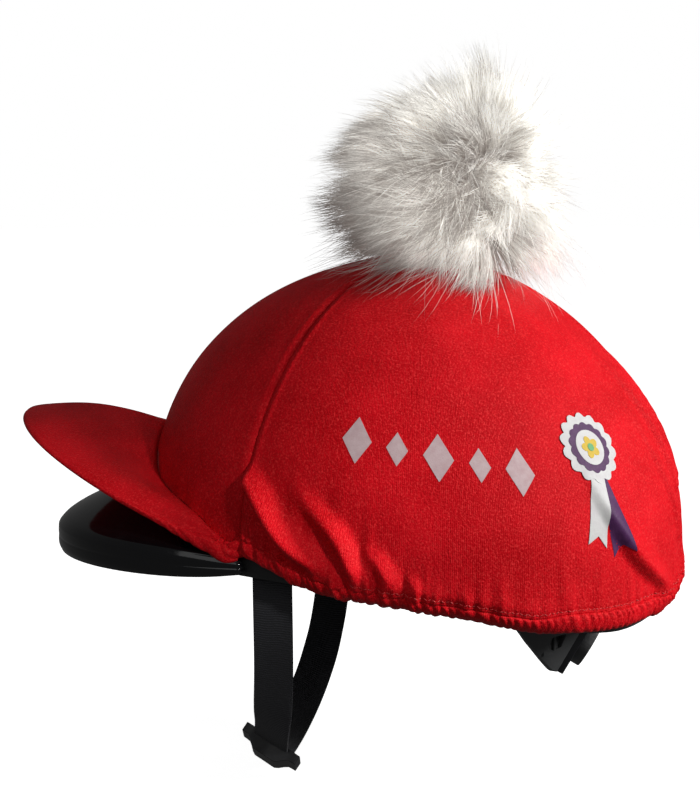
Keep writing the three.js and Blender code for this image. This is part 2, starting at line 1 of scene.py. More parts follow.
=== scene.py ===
"""A riding cap under a stretch race cover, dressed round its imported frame.

Lengths are in millimetres up to the moment a mesh is made, and in metres from there on.
x runs to the wearer's left, y to the back of the head and z up. A turn is an angle round the shell
in degrees from the front, positive to the wearer's left.
"""

import logging
import math
from dataclasses import dataclass, field, replace
from enum import Enum

import bpy
import numpy as np
from mathutils import Matrix, Vector


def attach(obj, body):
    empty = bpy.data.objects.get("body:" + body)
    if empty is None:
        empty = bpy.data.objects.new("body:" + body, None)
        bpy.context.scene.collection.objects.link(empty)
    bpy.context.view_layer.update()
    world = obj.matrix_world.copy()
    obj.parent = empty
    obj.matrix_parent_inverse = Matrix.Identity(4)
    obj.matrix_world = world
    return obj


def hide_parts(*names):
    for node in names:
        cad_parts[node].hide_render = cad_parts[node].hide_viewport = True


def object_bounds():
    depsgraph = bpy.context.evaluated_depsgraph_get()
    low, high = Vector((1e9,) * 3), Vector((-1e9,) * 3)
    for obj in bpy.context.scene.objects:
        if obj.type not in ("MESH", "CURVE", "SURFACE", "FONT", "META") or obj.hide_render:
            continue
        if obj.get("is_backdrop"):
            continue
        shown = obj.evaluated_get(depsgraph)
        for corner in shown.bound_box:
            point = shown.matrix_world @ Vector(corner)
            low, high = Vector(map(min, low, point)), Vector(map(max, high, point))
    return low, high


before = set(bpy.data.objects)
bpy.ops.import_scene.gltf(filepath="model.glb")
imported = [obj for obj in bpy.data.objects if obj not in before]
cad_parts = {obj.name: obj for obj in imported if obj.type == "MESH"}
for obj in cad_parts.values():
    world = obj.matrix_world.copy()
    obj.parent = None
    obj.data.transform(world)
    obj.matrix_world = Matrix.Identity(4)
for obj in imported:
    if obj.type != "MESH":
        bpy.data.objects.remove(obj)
CAD_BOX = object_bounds()

MM = 0.001
FIT_GAP = 0.3
Socket = bpy.types.NodeSocket
Piece = bpy.types.Object
Material = bpy.types.Material
log = logging.getLogger("cap")


class Side(Enum):
    """Which side of the wearer's head a piece is on."""

    LEFT = 1
    RIGHT = -1


class Body(Enum):
    """The moving bodies of the frame."""

    HELMET = "helmet"
    DIAL = "dial"


@dataclass(frozen=True)
class EasedTable:
    """Values given at a few places and eased between them.

    Args:
        places: Rising places of the rows.
        values: The value at each place.
    """

    places: tuple[float, ...]
    values: tuple[float, ...]

    def at(self, place: np.ndarray | float) -> np.ndarray:
        """Read the eased value.

        Args:
            place: One place or an array of them.

        Returns:
            The value at each place, held level past the ends.
        """
        places = np.array(self.places, float)
        values = np.array(self.values, float)
        order = np.arange(len(places))
        before = np.maximum(order - 1, 0)
        after = np.minimum(order + 1, len(places) - 1)
        slopes = (values[after] - values[before]) / (places[after] - places[before])
        x = np.clip(place, places[0], places[-1])
        row = np.clip(np.searchsorted(places, x), 1, len(places) - 1)
        span = places[row] - places[row - 1]
        t = (x - places[row - 1]) / span
        ease = t * t * (3 - 2 * t)
        level = values[row - 1] * (1 - ease) + values[row] * ease
        tilt = slopes[row - 1] * (t**3 - 2 * t * t + t) + slopes[row] * (t**3 - t * t)
        return level + span * tilt


def smooth_path(points: np.ndarray, count: int) -> np.ndarray:
    """Run a smooth line through given points.

    Args:
        points: One row for each point.
        count: How many points the line gets.

    Returns:
        The points of the line, one row each.
    """
    rows = tuple(float(i) for i in range(len(points)))
    steps = np.linspace(0, len(points) - 1, count)
    columns = [EasedTable(rows, tuple(column)).at(steps) for column in np.array(points, float).T]
    return np.stack(columns, -1)


def smoothstep(value: np.ndarray | float, low: float, high: float) -> np.ndarray:
    """Ease from 0 at low to 1 at high."""
    t = np.clip((value - low) / (high - low), 0, 1)
    return t * t * (3 - 2 * t)


def run_length(points: np.ndarray) -> np.ndarray:
    """Length of a line up to each of its points."""
    return np.concatenate([[0], np.cumsum(np.linalg.norm(np.diff(points, axis=0), axis=1))])


def unit(vectors: np.ndarray) -> np.ndarray:
    """Scale each row to length 1."""
    length = np.linalg.norm(vectors, axis=-1, keepdims=True)
    return vectors / np.maximum(length, 1e-9)


@dataclass(frozen=True)
class ShellForm:
    """The outer form of the helmet shell, which every other piece follows."""

    half_width: float = 109.5
    half_length: float = 137.0
    top: float = 154.0
    widest: float = 18.0
    side_wall: float = 28.0
    end_wall: float = 30.0
    top_wall: float = 27.0
    edge_round: float = 10.0
    front_fullness: float = 2.3
    back_fullness: float = 1.68
    rim_front: float = 5.0
    nape_drop: float = 27.0
    rim: EasedTable = EasedTable(
        (0, 60, 72, 86, 106, 118, 130, 145, 160, 180),
        (0.02, 0.0, 0.04, 0.14, 0.42, 0.66, 0.9, 1.0, 0.84, 0.52),
    )

    @property
    def dome(self) -> float:
        """Height of the dome over the widest ring."""
        return self.top - self.widest

    @property
    def round_length(self) -> float:
        """Length along the rolled lower edge."""
        return math.pi / 2 * self.edge_round

    @property
    def arc(self) -> float:
        """Millimetres of cloth to a degree of turn, on the mean ring."""
        return math.radians((self.half_width + self.half_length) / 2)

    def side_turn(self, turn: np.ndarray | float) -> np.ndarray:
        """Turn from the front on either side, from 0 to 180."""
        return np.abs((np.asarray(turn, float) + 180) % 360 - 180)

    def rim_height(self, turn: np.ndarray | float) -> np.ndarray:
        """Height of the lower edge at a turn."""
        return self.rim_front - self.nape_drop * self.rim.at(self.side_turn(turn))

    def length_to_widest(self, turn: np.ndarray | float) -> np.ndarray:
        """Distance along the shell from its lower edge to the widest ring."""
        return self.round_length + self.widest - self.rim_height(turn) - self.edge_round

    def power(self, turn: np.ndarray | float) -> np.ndarray:
        """Power of the dome's curve at a turn."""
        mean = (self.front_fullness + self.back_fullness) / 2
        swing = (self.front_fullness - self.back_fullness) / 2
        return mean + swing * np.cos(np.radians(turn))

    def dome_share(self, turn: np.ndarray | float, climb: np.ndarray) -> np.ndarray:
        """Share of the full half size at a climb of the dome in radians."""
        rise = np.sin(np.maximum(climb, 0)) ** self.power(turn)
        return np.sqrt(np.maximum(0, 1 - rise))

    def length_at_height(self, turn: np.ndarray | float, height: np.ndarray | float) -> np.ndarray:
        """Distance along the shell at which it reaches a height."""
        base = self.length_to_widest(turn)
        climb = np.arcsin(np.clip((height - self.widest) / self.dome, 0, 1))
        return np.where(height <= self.widest, base - (self.widest - height), base + self.dome * climb)

    def length_at_ring(self, turn: np.ndarray | float, half_width: float) -> np.ndarray:
        """Distance along the shell to the ring round the top with that half width."""
        share = 1 - (half_width / self.half_width) ** 2
        return self.length_to_widest(turn) + self.dome * math.asin(math.sqrt(share))

    def point(
        self, turn: np.ndarray | float, along: np.ndarray | float, out: np.ndarray | float
    ) -> np.ndarray:
        """Find points of the shell.

        Args:
            turn: Degrees from the front.
            along: Distance along the shell from its lower edge.
            out: How far the point is moved outwards.

        Returns:
            One row of x, y and z for each point.
        """
        turn, along, out = np.broadcast_arrays(*(np.asarray(a, float) for a in (turn, along, out)))
        climb = np.maximum(0, (along - self.length_to_widest(turn)) / self.dome)
        roll = np.maximum(0, (self.round_length - along) / self.edge_round)
        share = self.dome_share(turn, climb)
        wall = self.rim_height(turn) + self.edge_round + np.maximum(0, along - self.round_length)
        height = np.where(climb > 0, self.widest + self.dome * np.sin(climb), wall)
        height = height - self.edge_round * np.sin(roll) + out * (np.sin(climb) - np.sin(roll))
        outward = out * np.cos(climb) * np.cos(roll) - self.edge_round * (1 - np.cos(roll))
        wide = self.half_width * share + outward
        long = self.half_length * share + outward
        angle = np.radians(turn)
        return np.stack([wide * np.sin(angle), -long * np.cos(angle), height], -1)

    def hollow_point(self, turn: np.ndarray | float, share: np.ndarray | float) -> np.ndarray:
        """Find points of the hollow.

        Args:
            turn: Degrees from the front.
            share: Share of the way from the lower edge to the top.

        Returns:
            One row of x, y and z for each point.
        """
        low = (self.rim_height(turn) - self.widest) / self.dome
        climb = low + (math.pi / 2 - low) * share
        flat = self.dome_share(turn, climb)
        rise = np.where(climb < 0, self.dome * climb, (self.dome - self.top_wall) * np.sin(climb))
        angle = np.radians(turn)
        wide = (self.half_width - self.side_wall) * flat * np.sin(angle)
        long = -(self.half_length - self.end_wall) * flat * np.cos(angle)
        return np.stack([wide, long, self.widest + rise + 0 * wide], -1)

    def crown_height(self, x: np.ndarray, y: np.ndarray) -> np.ndarray:
        """Height of the dome over a point of the plan."""
        reach = np.clip(1 - (x / self.half_width) ** 2 - (y / self.half_length) ** 2, 0, 1)
        turn = np.degrees(np.arctan2(x / self.half_width, -y / self.half_length))
        return self.widest + self.dome * reach ** (1 / self.power(turn))


@dataclass(frozen=True)
class Fold:
    """One fold of the cover, drawn as a crest line from its top down to the hem.

    Args:
        turns: Turn of each point of the crest, in degrees.
        heights: Height of each point, in millimetres.
        lifts: How far the crest stands off the shell at each point.
        front: Width of the flank that faces the front.
        back: Width of the flank that faces the back.
        crest: How far the crest is rounded, in millimetres.
        toe: How far each flank is rounded at both ends, as a share of its width.
    """

    turns: tuple[float, ...]
    heights: tuple[float, ...]
    lifts: tuple[float, ...]
    front: float
    back: float
    crest: float = 0.8
    toe: float = 0.16

    def lift(self, around: np.ndarray, height: np.ndarray) -> np.ndarray:
        """Measure the fold under an array of places.

        Args:
            around: Millimetres of cloth from the front.
            height: Height of each place.

        Returns:
            How far the fold lifts the cloth there.
        """
        rows = np.stack([np.array(self.turns) * SHELL.arc, self.heights, self.lifts], -1)
        line = smooth_path(rows, 5 * len(self.turns))
        start, run = line[:-1, :2], np.diff(line[:, :2], axis=0)
        offset = np.stack([around, height], -1)[..., None, :] - start
        share = np.clip((offset * run).sum(-1) / (run * run).sum(-1), 0, 1)
        away = offset - run * share[..., None]
        distance = np.hypot(away[..., 0], away[..., 1])
        nearest = distance.argmin(-1)[..., None]
        behind = np.take_along_axis(run[:, 0] * away[..., 1] - run[:, 1] * away[..., 0], nearest, -1)
        high = line[nearest, 2] + np.diff(line[:, 2])[nearest] * np.take_along_axis(share, nearest, -1)
        width = np.where(behind > 0, self.back, self.front)
        reach = np.take_along_axis(distance, nearest, -1)
        reach = (np.sqrt(reach**2 + self.crest**2) - self.crest) / width
        fall = 0.5 - 0.5 * (np.sqrt(reach**2 + self.toe**2) - np.sqrt((reach - 1) ** 2 + self.toe**2))
        return (np.maximum(high, 0) * fall)[..., 0]


FOLDS = (
    Fold(
        (57.6, 60.4, 64.6, 69.2, 73.4, 77.2, 79.6),
        (57.5, 52.0, 42.0, 29.5, 20.5, 14.0, 6.0),
        (1.0, 5.8, 9.2, 10.4, 9.8, 7.7, 4.2),
        3.6,
        8.0,
    ),
    Fold((76.4, 79.4, 81.0), (17, 10.5, 5), (4.4, 6.4, 4.6), 2.6, 4.6),
    Fold(
        (70.6, 75.6, 80.4, 83.0, 84.8, 85.6),
        (53, 42, 31.5, 22, 11, 3),
        (0.2, 3.4, 6.4, 7.6, 7.0, 4.4),
        4.0,
        6.4,
    ),
    Fold((86.2, 89.2, 91.2, 91.0), (27, 18.5, 9.5, 2), (0.3, 3.6, 4.8, 3.4), 2.6, 6.0),
    Fold((95.2, 96.6, 96.8), (14, 7, -1), (0.2, 2.4, 2.6), 1.8, 3.2),
    Fold((100.4, 101.2), (11, -2), (0.2, 2.0), 1.8, 3.0),
    Fold((105.6, 106.2), (8, -3), (0.2, 1.6), 1.8, 2.8),
    Fold((59.8, 61.4, 63.0, 62.6, 61.2), (45, 38, 31, 24.5, 19), (0.6, 3.6, 5.6, 5.6, 4.0), 2.6, 3.8),
    Fold((64.4, 66.4, 66.8), (25.5, 20, 14), (0.6, 4.0, 3.6), 1.8, 2.6),
    Fold((68.8, 70.2), (18.5, 12), (2.6, 3.4), 1.6, 2.4),
    Fold((113.0, 114.0), (16, -3), (0.2, 1.1), 3.0, 4.0),
    Fold((127.0, 128.0), (20, -8), (0.2, 1.2), 3.0, 5.0),
    Fold((137.0, 136.0), (22, -10), (0.2, 1.1), 3.0, 5.0),
    Fold(
        (135.0, 137.5, 141.5, 147.5, 156.0, 160.5),
        (62, 48, 32, 15, 1, -8),
        (0.3, 1.8, 4.2, 5.8, 5.6, 4.0),
        4.4,
        10.0,
    ),
    Fold((161.0, 164.0, 168.5, 170.5), (84, 62, 36, 20), (0.2, 1.8, 2.8, 2.0), 3.6, 7.0),
    Fold((160.0, 166.0, 171.0, 173.5), (112, 96, 70, 44), (0.2, 2.2, 3.6, 3.2), 3.2, 6.0),
)


@dataclass(frozen=True)
class Gathers:
    """Small folds that the elastic draws into the cloth, of uneven width, height and reach.

    Args:
        pitch: Mean width of a gather in millimetres.
        height: Height of the tallest ones.
        reach: Usual distance that they run up the cloth.
        seed: Seed of their unevenness.
        strength: How strong they are, by turn from the front.
    """

    pitch: float
    height: float
    reach: float
    seed: int
    strength: EasedTable

    def share(self, around: np.ndarray) -> tuple[np.ndarray, np.ndarray]:
        """Shape of the gathers at a place.

        Args:
            around: Millimetres of cloth from the front.

        Returns:
            Height of the gather from 0 to 1, and how far it reaches up, as a share of the usual reach.
        """
        rng = np.random.default_rng(self.seed)
        heights, reaches = rng.uniform(0.35, 1.0, 400), rng.uniform(0.35, 2.2, 400)
        drift = 0.36 * np.sin(around / (1.9 * self.pitch) + self.seed)
        drift = drift + 0.2 * np.sin(around / (0.9 * self.pitch) + 2 * self.seed)
        phase = around / self.pitch + drift
        number = np.floor(phase).astype(int) % 400
        crest = 1 - np.abs(2 * (phase % 1) - 1) ** 1.9
        return heights[number] * crest, reaches[number]

    def lift(self, turn: np.ndarray, above: np.ndarray, lean: float = 0.0) -> np.ndarray:
        """Measure how far the gathers lift the cloth.

        Args:
            turn: Degrees from the front.
            above: Distance over the stitch line.
            lean: Millimetres sideways for each millimetre down.

        Returns:
            The lift at each place.
        """
        around = SHELL.side_turn(turn) * SHELL.arc
        crest, reach = self.share(around + lean * np.minimum(above, 0))
        fade = np.exp(-((np.maximum(above, 0) / (self.reach * reach)) ** 1.3))
        return self.height * self.strength.at(SHELL.side_turn(turn)) * crest * fade


@dataclass(frozen=True)
class CoverForm:
    """Where the stretch cover lies over the shell."""

    gap: float = 1.2
    thick: float = 1.2
    top_hole: float = 6.0
    top_lift: float = 4.0
    lift_reach: float = 46.0
    front_low: float = 58.0
    front_high: float = 63.0
    back: float = 176.0
    hem_rise: float = 16.0
    hem_height: float = 9.0
    hem_thick: float = 1.8
    hem_line: EasedTable = EasedTable(
        (58, 62, 68, 74, 82, 120, 130, 152, 162, 180),
        (1.12, 1.0, 0.74, 0.38, 0.16, 0.16, 0.5, 0.62, 0.36, 0.36),
    )
    seam_dip: float = 0.95
    back_dip: float = 1.55
    seam_reach: float = 1.5
    peak_turn: float = 57.0
    peak_end: float = 17.0
    peak_root: float = 66.0
    peak_line: EasedTable = EasedTable(
        (0, 0.2, 0.38, 0.56, 0.7, 0.84, 1.0), (1.0, 0.84, 0.62, 0.48, 0.4, 0.27, 0.0)
    )
    inner_dip: float = -0.6
    roll_at: float = 3.2
    roll_wide: float = 1.4

    def hem_start(self, turn: np.ndarray | float) -> np.ndarray:
        """Distance along the shell to the hem's lower edge."""
        return self.hem_rise * self.hem_line.at(SHELL.side_turn(turn))

    def stitch_line(self, turn: np.ndarray | float) -> np.ndarray:
        """Distance along the shell to a side panel's lower edge."""
        return self.hem_start(turn) + self.hem_height + 2 * FIT_GAP

    def front_seam(self, along: np.ndarray | float) -> np.ndarray:
        """Turn of the front seam at a distance along the shell."""
        full = SHELL.length_at_ring(self.front_low, self.top_hole)
        return self.front_low + (self.front_high - self.front_low) * along / full

    def peak_root_height(self, turn: np.ndarray | float) -> np.ndarray:
        """Height at which the cloth peak leaves the crown."""
        share = self.peak_line.at(SHELL.side_turn(turn) / self.peak_turn)
        return self.peak_end + (self.peak_root - self.peak_end) * share

    def fold_lift(self, turn: np.ndarray, height: np.ndarray) -> np.ndarray:
        """How far the folds lift the cloth at a turn and a height."""
        around = SHELL.side_turn(turn) * SHELL.arc
        return np.max([fold.lift(around, height) for fold in FOLDS], axis=0)

    def ripple(self, turn: np.ndarray, height: np.ndarray) -> np.ndarray:
        """Faint unevenness of the stretched cloth."""
        around = turn * SHELL.arc
        long = np.sin(around / 23 + height / 31) * np.sin(height / 19 - around / 47 + 1)
        short = np.sin(around / 7.3 - height / 11 + 2) * np.sin(height / 8.1 + around / 13)
        return 0.16 * long + 0.05 * short

    def place(self, turn: np.ndarray, along: np.ndarray, out: np.ndarray | float) -> np.ndarray:
        """Points on the cover's inner face moved outwards, with the crown's lift round the post."""
        points = SHELL.point(turn, along, self.gap + out)
        away = np.hypot(points[..., 0], points[..., 1]) / self.lift_reach
        points[..., 2] += self.top_lift * np.maximum(0, 1 - away) ** 2
        return points

    def seam_groove(self, away: np.ndarray) -> np.ndarray:
        """Depth of a seam's groove, as a share, at a distance from the seam."""
        return np.exp(-((away / self.seam_reach) ** 2))

    def seam_roll(self, away: np.ndarray) -> np.ndarray:
        """Height of the soft roll beside a seam, as a share."""
        return np.exp(-(((away - self.roll_at) / self.roll_wide) ** 2))

    def side_lift(self, turn: np.ndarray, along: np.ndarray) -> np.ndarray:
        """All that lifts a side panel off the shell.

        Args:
            turn: Degrees from the front.
            along: Distance along the shell from its lower edge.

        Returns:
            The lift at each place.
        """
        height = SHELL.point(turn, along, self.gap)[..., 2]
        above = along - self.stitch_line(turn)
        folds = self.fold_lift(turn, height)
        gathers = WIDE_GATHERS.lift(turn, above) + FINE_GATHERS.lift(turn, above)
        small = np.maximum(0, gathers - 0.22 * folds)
        groove = 0.5 * np.exp(-(((above - 1.1) / 0.9) ** 2))
        lift = folds * (0.6 + 0.4 * smoothstep(above, -1, 9)) + small
        return lift + self.ripple(turn, height) - groove

    def side_face(self, turn: np.ndarray, along: np.ndarray, out: float) -> np.ndarray:
        """Points just over the outer face of a side panel."""
        return self.place(turn, along, self.side_lift(turn, along) + self.thick + out)


SHELL = ShellForm()
GATHER_TURNS = (57, 62, 76, 88, 100, 112, 130, 146, 158, 178)
WIDE_GATHERS = Gathers(
    7.6, 2.8, 9.0, 5, EasedTable(GATHER_TURNS, (1.5, 1.5, 1.2, 0.8, 0.5, 0.26, 0.2, 0.4, 0.9, 0.7))
)
FINE_GATHERS = Gathers(
    3.9, 1.5, 5.0, 9, EasedTable(GATHER_TURNS, (0.5, 0.6, 0.9, 0.9, 0.7, 0.55, 0.5, 0.7, 0.9, 0.9))
)
COVER = CoverForm()


def deselect() -> None:
    """Leave edit mode and select nothing."""
    if bpy.context.object and bpy.context.object.mode != "OBJECT":
        bpy.ops.object.mode_set(mode="OBJECT")
    bpy.ops.object.select_all(action="DESELECT")


def activate(piece: Piece) -> None:
    """Select one piece alone and make it the active one."""
    deselect()
    piece.select_set(True)
    bpy.context.view_layer.objects.active = piece


def new_piece(
    name: str, points: np.ndarray, polygons: list[np.ndarray], uv: np.ndarray | None = None
) -> Piece:
    """Make a smooth-shaded mesh from arrays.

    Args:
        name: Name of the piece.
        points: Corners in millimetres, one row each.
        polygons: Arrays of corner numbers, each with one width.
        uv: A pair of numbers for each corner, or None.

    Returns:
        The new object, at the origin.
    """
    loops = np.concatenate([faces.ravel() for faces in polygons]).astype(np.int32)
    totals = np.concatenate([np.full(len(faces), faces.shape[1]) for faces in polygons])
    starts = np.concatenate([[0], np.cumsum(totals)[:-1]])
    mesh = bpy.data.meshes.new(name)
    mesh.vertices.add(len(points))
    mesh.vertices.foreach_set("co", (points * MM).astype(np.float32).ravel())
    mesh.loops.add(len(loops))
    mesh.loops.foreach_set("vertex_index", loops)
    mesh.polygons.add(len(totals))
    mesh.polygons.foreach_set("loop_start", starts.astype(np.int32))
    mesh.polygons.foreach_set("loop_total", totals.astype(np.int32))
    mesh.polygons.foreach_set("use_smooth", np.ones(len(totals), bool))
    if uv is not None:
        layer = mesh.uv_layers.new(name="cloth")
        layer.data.foreach_set("uv", uv[loops].astype(np.float32).ravel())
    mesh.update(calc_edges=True)
    mesh.validate()
    piece = bpy.data.objects.new(name, mesh)
    bpy.context.scene.collection.objects.link(piece)
    return piece


def grid_quads(rows: int, columns: int, start: int = 0, loop: bool = False) -> np.ndarray:
    """Number the faces of a grid of corners.

    Args:
        rows: Rows of corners.
        columns: Corners in a row.
        start: Number of the first corner.
        loop: Whether the last column runs on into the first.

    Returns:
        One row of four corner numbers for each face.
    """
    numbers = start + np.arange(rows * columns).reshape(rows, columns)
    if loop:
        numbers = np.concatenate([numbers, numbers[:, :1]], axis=1)
    a, b = numbers[:-1, :-1], numbers[:-1, 1:]
    c, d = numbers[1:, 1:], numbers[1:, :-1]
    return np.stack([a, b, c, d], -1).reshape(-1, 4)


def cloth_piece(name: str, outer: np.ndarray, inner: np.ndarray, uv: np.ndarray) -> Piece:
    """Close an outer and an inner face of cloth round their edges.

    Args:
        name: Name of the piece.
        outer: Grid of corners of the outer face, rows running up and columns to the wearer's left.
        inner: The same grid on the inner face.
        uv: Pairs of numbers for each corner of the grid.

    Returns:
        The closed piece.
    """
    rows, columns = outer.shape[:2]
    count = rows * columns
    face = grid_quads(rows, columns)
    numbers = np.arange(count).reshape(rows, columns)
    edge = np.concatenate(
        [numbers[0, :-1], numbers[:-1, -1], numbers[-1, :0:-1], numbers[:0:-1, 0]]
    )
    after = np.roll(edge, -1)
    rim = np.stack([after, edge, edge + count, after + count], -1)
    points = np.concatenate([outer.reshape(-1, 3), inner.reshape(-1, 3)])
    pairs = np.concatenate([uv.reshape(-1, 2)] * 2)
    return new_piece(name, points, [face, face[:, ::-1] + count, rim], pairs)


def swept_piece(name: str, sections: np.ndarray, uv: np.ndarray | None = None) -> Piece:
    """Join closed sections one after another and close both ends.

    Args:
        name: Name of the piece.
        sections: One closed section in each row.
        uv: Pairs of numbers for each corner, or None.

    Returns:
        The closed piece, with its faces turned outwards.
    """
    rows, columns = sections.shape[:2]
    sides = grid_quads(rows, columns, loop=True)
    ends = np.arange(rows * columns).reshape(rows, columns)[[0, -1]]
    ends[0] = ends[0][::-1]
    pairs = None if uv is None else uv.reshape(-1, 2)
    piece = new_piece(name, sections.reshape(-1, 3), [sides, ends], pairs)
    face_outwards(piece)
    return piece


def face_outwards(piece: Piece) -> None:
    """Turn the faces of a closed piece outwards."""
    activate(piece)
    bpy.ops.object.mode_set(mode="EDIT")
    bpy.ops.mesh.select_all(action="SELECT")
    bpy.ops.mesh.normals_make_consistent(inside=False)
    bpy.ops.object.mode_set(mode="OBJECT")


def tubes(
    name: str, paths: np.ndarray, radii: np.ndarray, sides: int, tint: np.ndarray
) -> Piece:
    """Make many thin closed tubes, each pinched to a point at both ends, as one piece.

    Args:
        name: Name of the piece.
        paths: Points of each tube's centreline, an array of tubes by points by three.
        radii: Radius at each inner point of each tube.
        sides: Sides of a tube.
        tint: One number for each tube, kept in the first column of the piece's uv.

    Returns:
        The piece. The second column of its uv runs from 0 at a tube's root to 1 at its tip.
    """
    count, length = paths.shape[:2]
    rings = length - 2
    run = unit(paths[:, 2:] - paths[:, :-2])
    guide = np.where(np.abs(run[:, :1, 2:]) > 0.8, [1.0, 0.0, 0.0], [0.0, 0.0, 1.0])
    across = unit(np.cross(run, guide))
    up = np.cross(across, run)
    angle = np.arange(sides) * 2 * math.pi / sides
    around = across[:, :, None] * np.cos(angle)[:, None] + up[:, :, None] * np.sin(angle)[:, None]
    circles = paths[:, 1:-1, None] + around * radii[:, :, None, None]
    ends = paths[:, [0, -1]]
    points = np.concatenate([circles.reshape(count, -1, 3), ends], axis=1)
    body = grid_quads(rings, sides, loop=True)
    turn = np.arange(sides)
    after = (turn + 1) % sides
    root, tip = rings * sides, rings * sides + 1
    last = (rings - 1) * sides
    caps = np.concatenate(
        [
            np.stack([after, turn, np.full(sides, root)], -1),
            np.stack([last + turn, last + after, np.full(sides, tip)], -1),
        ]
    )
    first = (np.arange(count) * points.shape[1])[:, None, None]
    along = np.linspace(0, 1, length)
    share = np.concatenate([np.repeat(along[1:-1], sides), along[[0, -1]]])
    uv = np.stack(np.broadcast_arrays(tint[:, None], share[None]), -1)
    polygons = [(body + first).reshape(-1, 4), (caps + first).reshape(-1, 3)]
    return new_piece(name, points.reshape(-1, 3), polygons, uv.reshape(-1, 2))


def apply_modifiers(piece: Piece) -> None:
    """Apply every modifier of a piece."""
    activate(piece)
    for modifier in list(piece.modifiers):
        bpy.ops.object.modifier_apply(modifier=modifier.name)


def bevel(piece: Piece, width: float, segments: int = 3, angle: float = 35) -> None:
    """Round the sharp edges of a piece.

    Args:
        piece: The piece to round.
        width: Width of the bevel in millimetres.
        segments: Steps across the bevel.
        angle: Edges sharper than this many degrees are rounded.
    """
    modifier = piece.modifiers.new("edges", "BEVEL")
    modifier.width = width * MM
    modifier.segments = segments
    modifier.limit_method = "ANGLE"
    modifier.angle_limit = math.radians(angle)
    apply_modifiers(piece)


def shade_by_angle(piece: Piece, degrees: float = 40) -> None:
    """Shade a piece smooth except over sharp edges."""
    activate(piece)
    bpy.ops.object.shade_smooth_by_angle(angle=math.radians(degrees))


def cut_away(piece: Piece, cutter: Piece) -> None:
    """Cut one closed piece out of another and delete the cutter.

    Args:
        piece: The piece.
        cutter: The closed piece that is cut out of it.
    """
    modifier = piece.modifiers.new("cut", "BOOLEAN")
    modifier.operation = "DIFFERENCE"
    modifier.solver = "EXACT"
    modifier.object = cutter
    apply_modifiers(piece)
    bpy.data.objects.remove(cutter)


def block(name: str, size: tuple[float, float, float], place: Matrix) -> Piece:
    """Add a box, to be shaped further.

    Args:
        name: Name of the piece.
        size: Lengths of its sides in millimetres.
        place: Where its own frame lies, in metres.

    Returns:
        The box, with its place in its mesh.
    """
    deselect()
    bpy.ops.mesh.primitive_cube_add(size=1)
    piece = bpy.context.object
    piece.name = name
    piece.data.name = name
    piece.data.transform(place @ Matrix.Diagonal((*(s * MM for s in size), 1)))
    return piece


def join(pieces: list[Piece]) -> Piece:
    """Join pieces into the first of them and return it."""
    activate(pieces[0])
    for piece in pieces:
        piece.select_set(True)
    bpy.ops.object.join()
    return pieces[0]


def dress(piece: Piece, material: Material, body: Body) -> None:
    """Give a piece its material and the body that it rides on."""
    piece.data.materials.clear()
    piece.data.materials.append(material)
    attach(piece, body.value)


def report(piece: Piece) -> None:
    """Log a finished piece and its size."""
    piece.data.calc_loop_triangles()
    log.info("%s: %d triangles", piece.name, len(piece.data.loop_triangles))


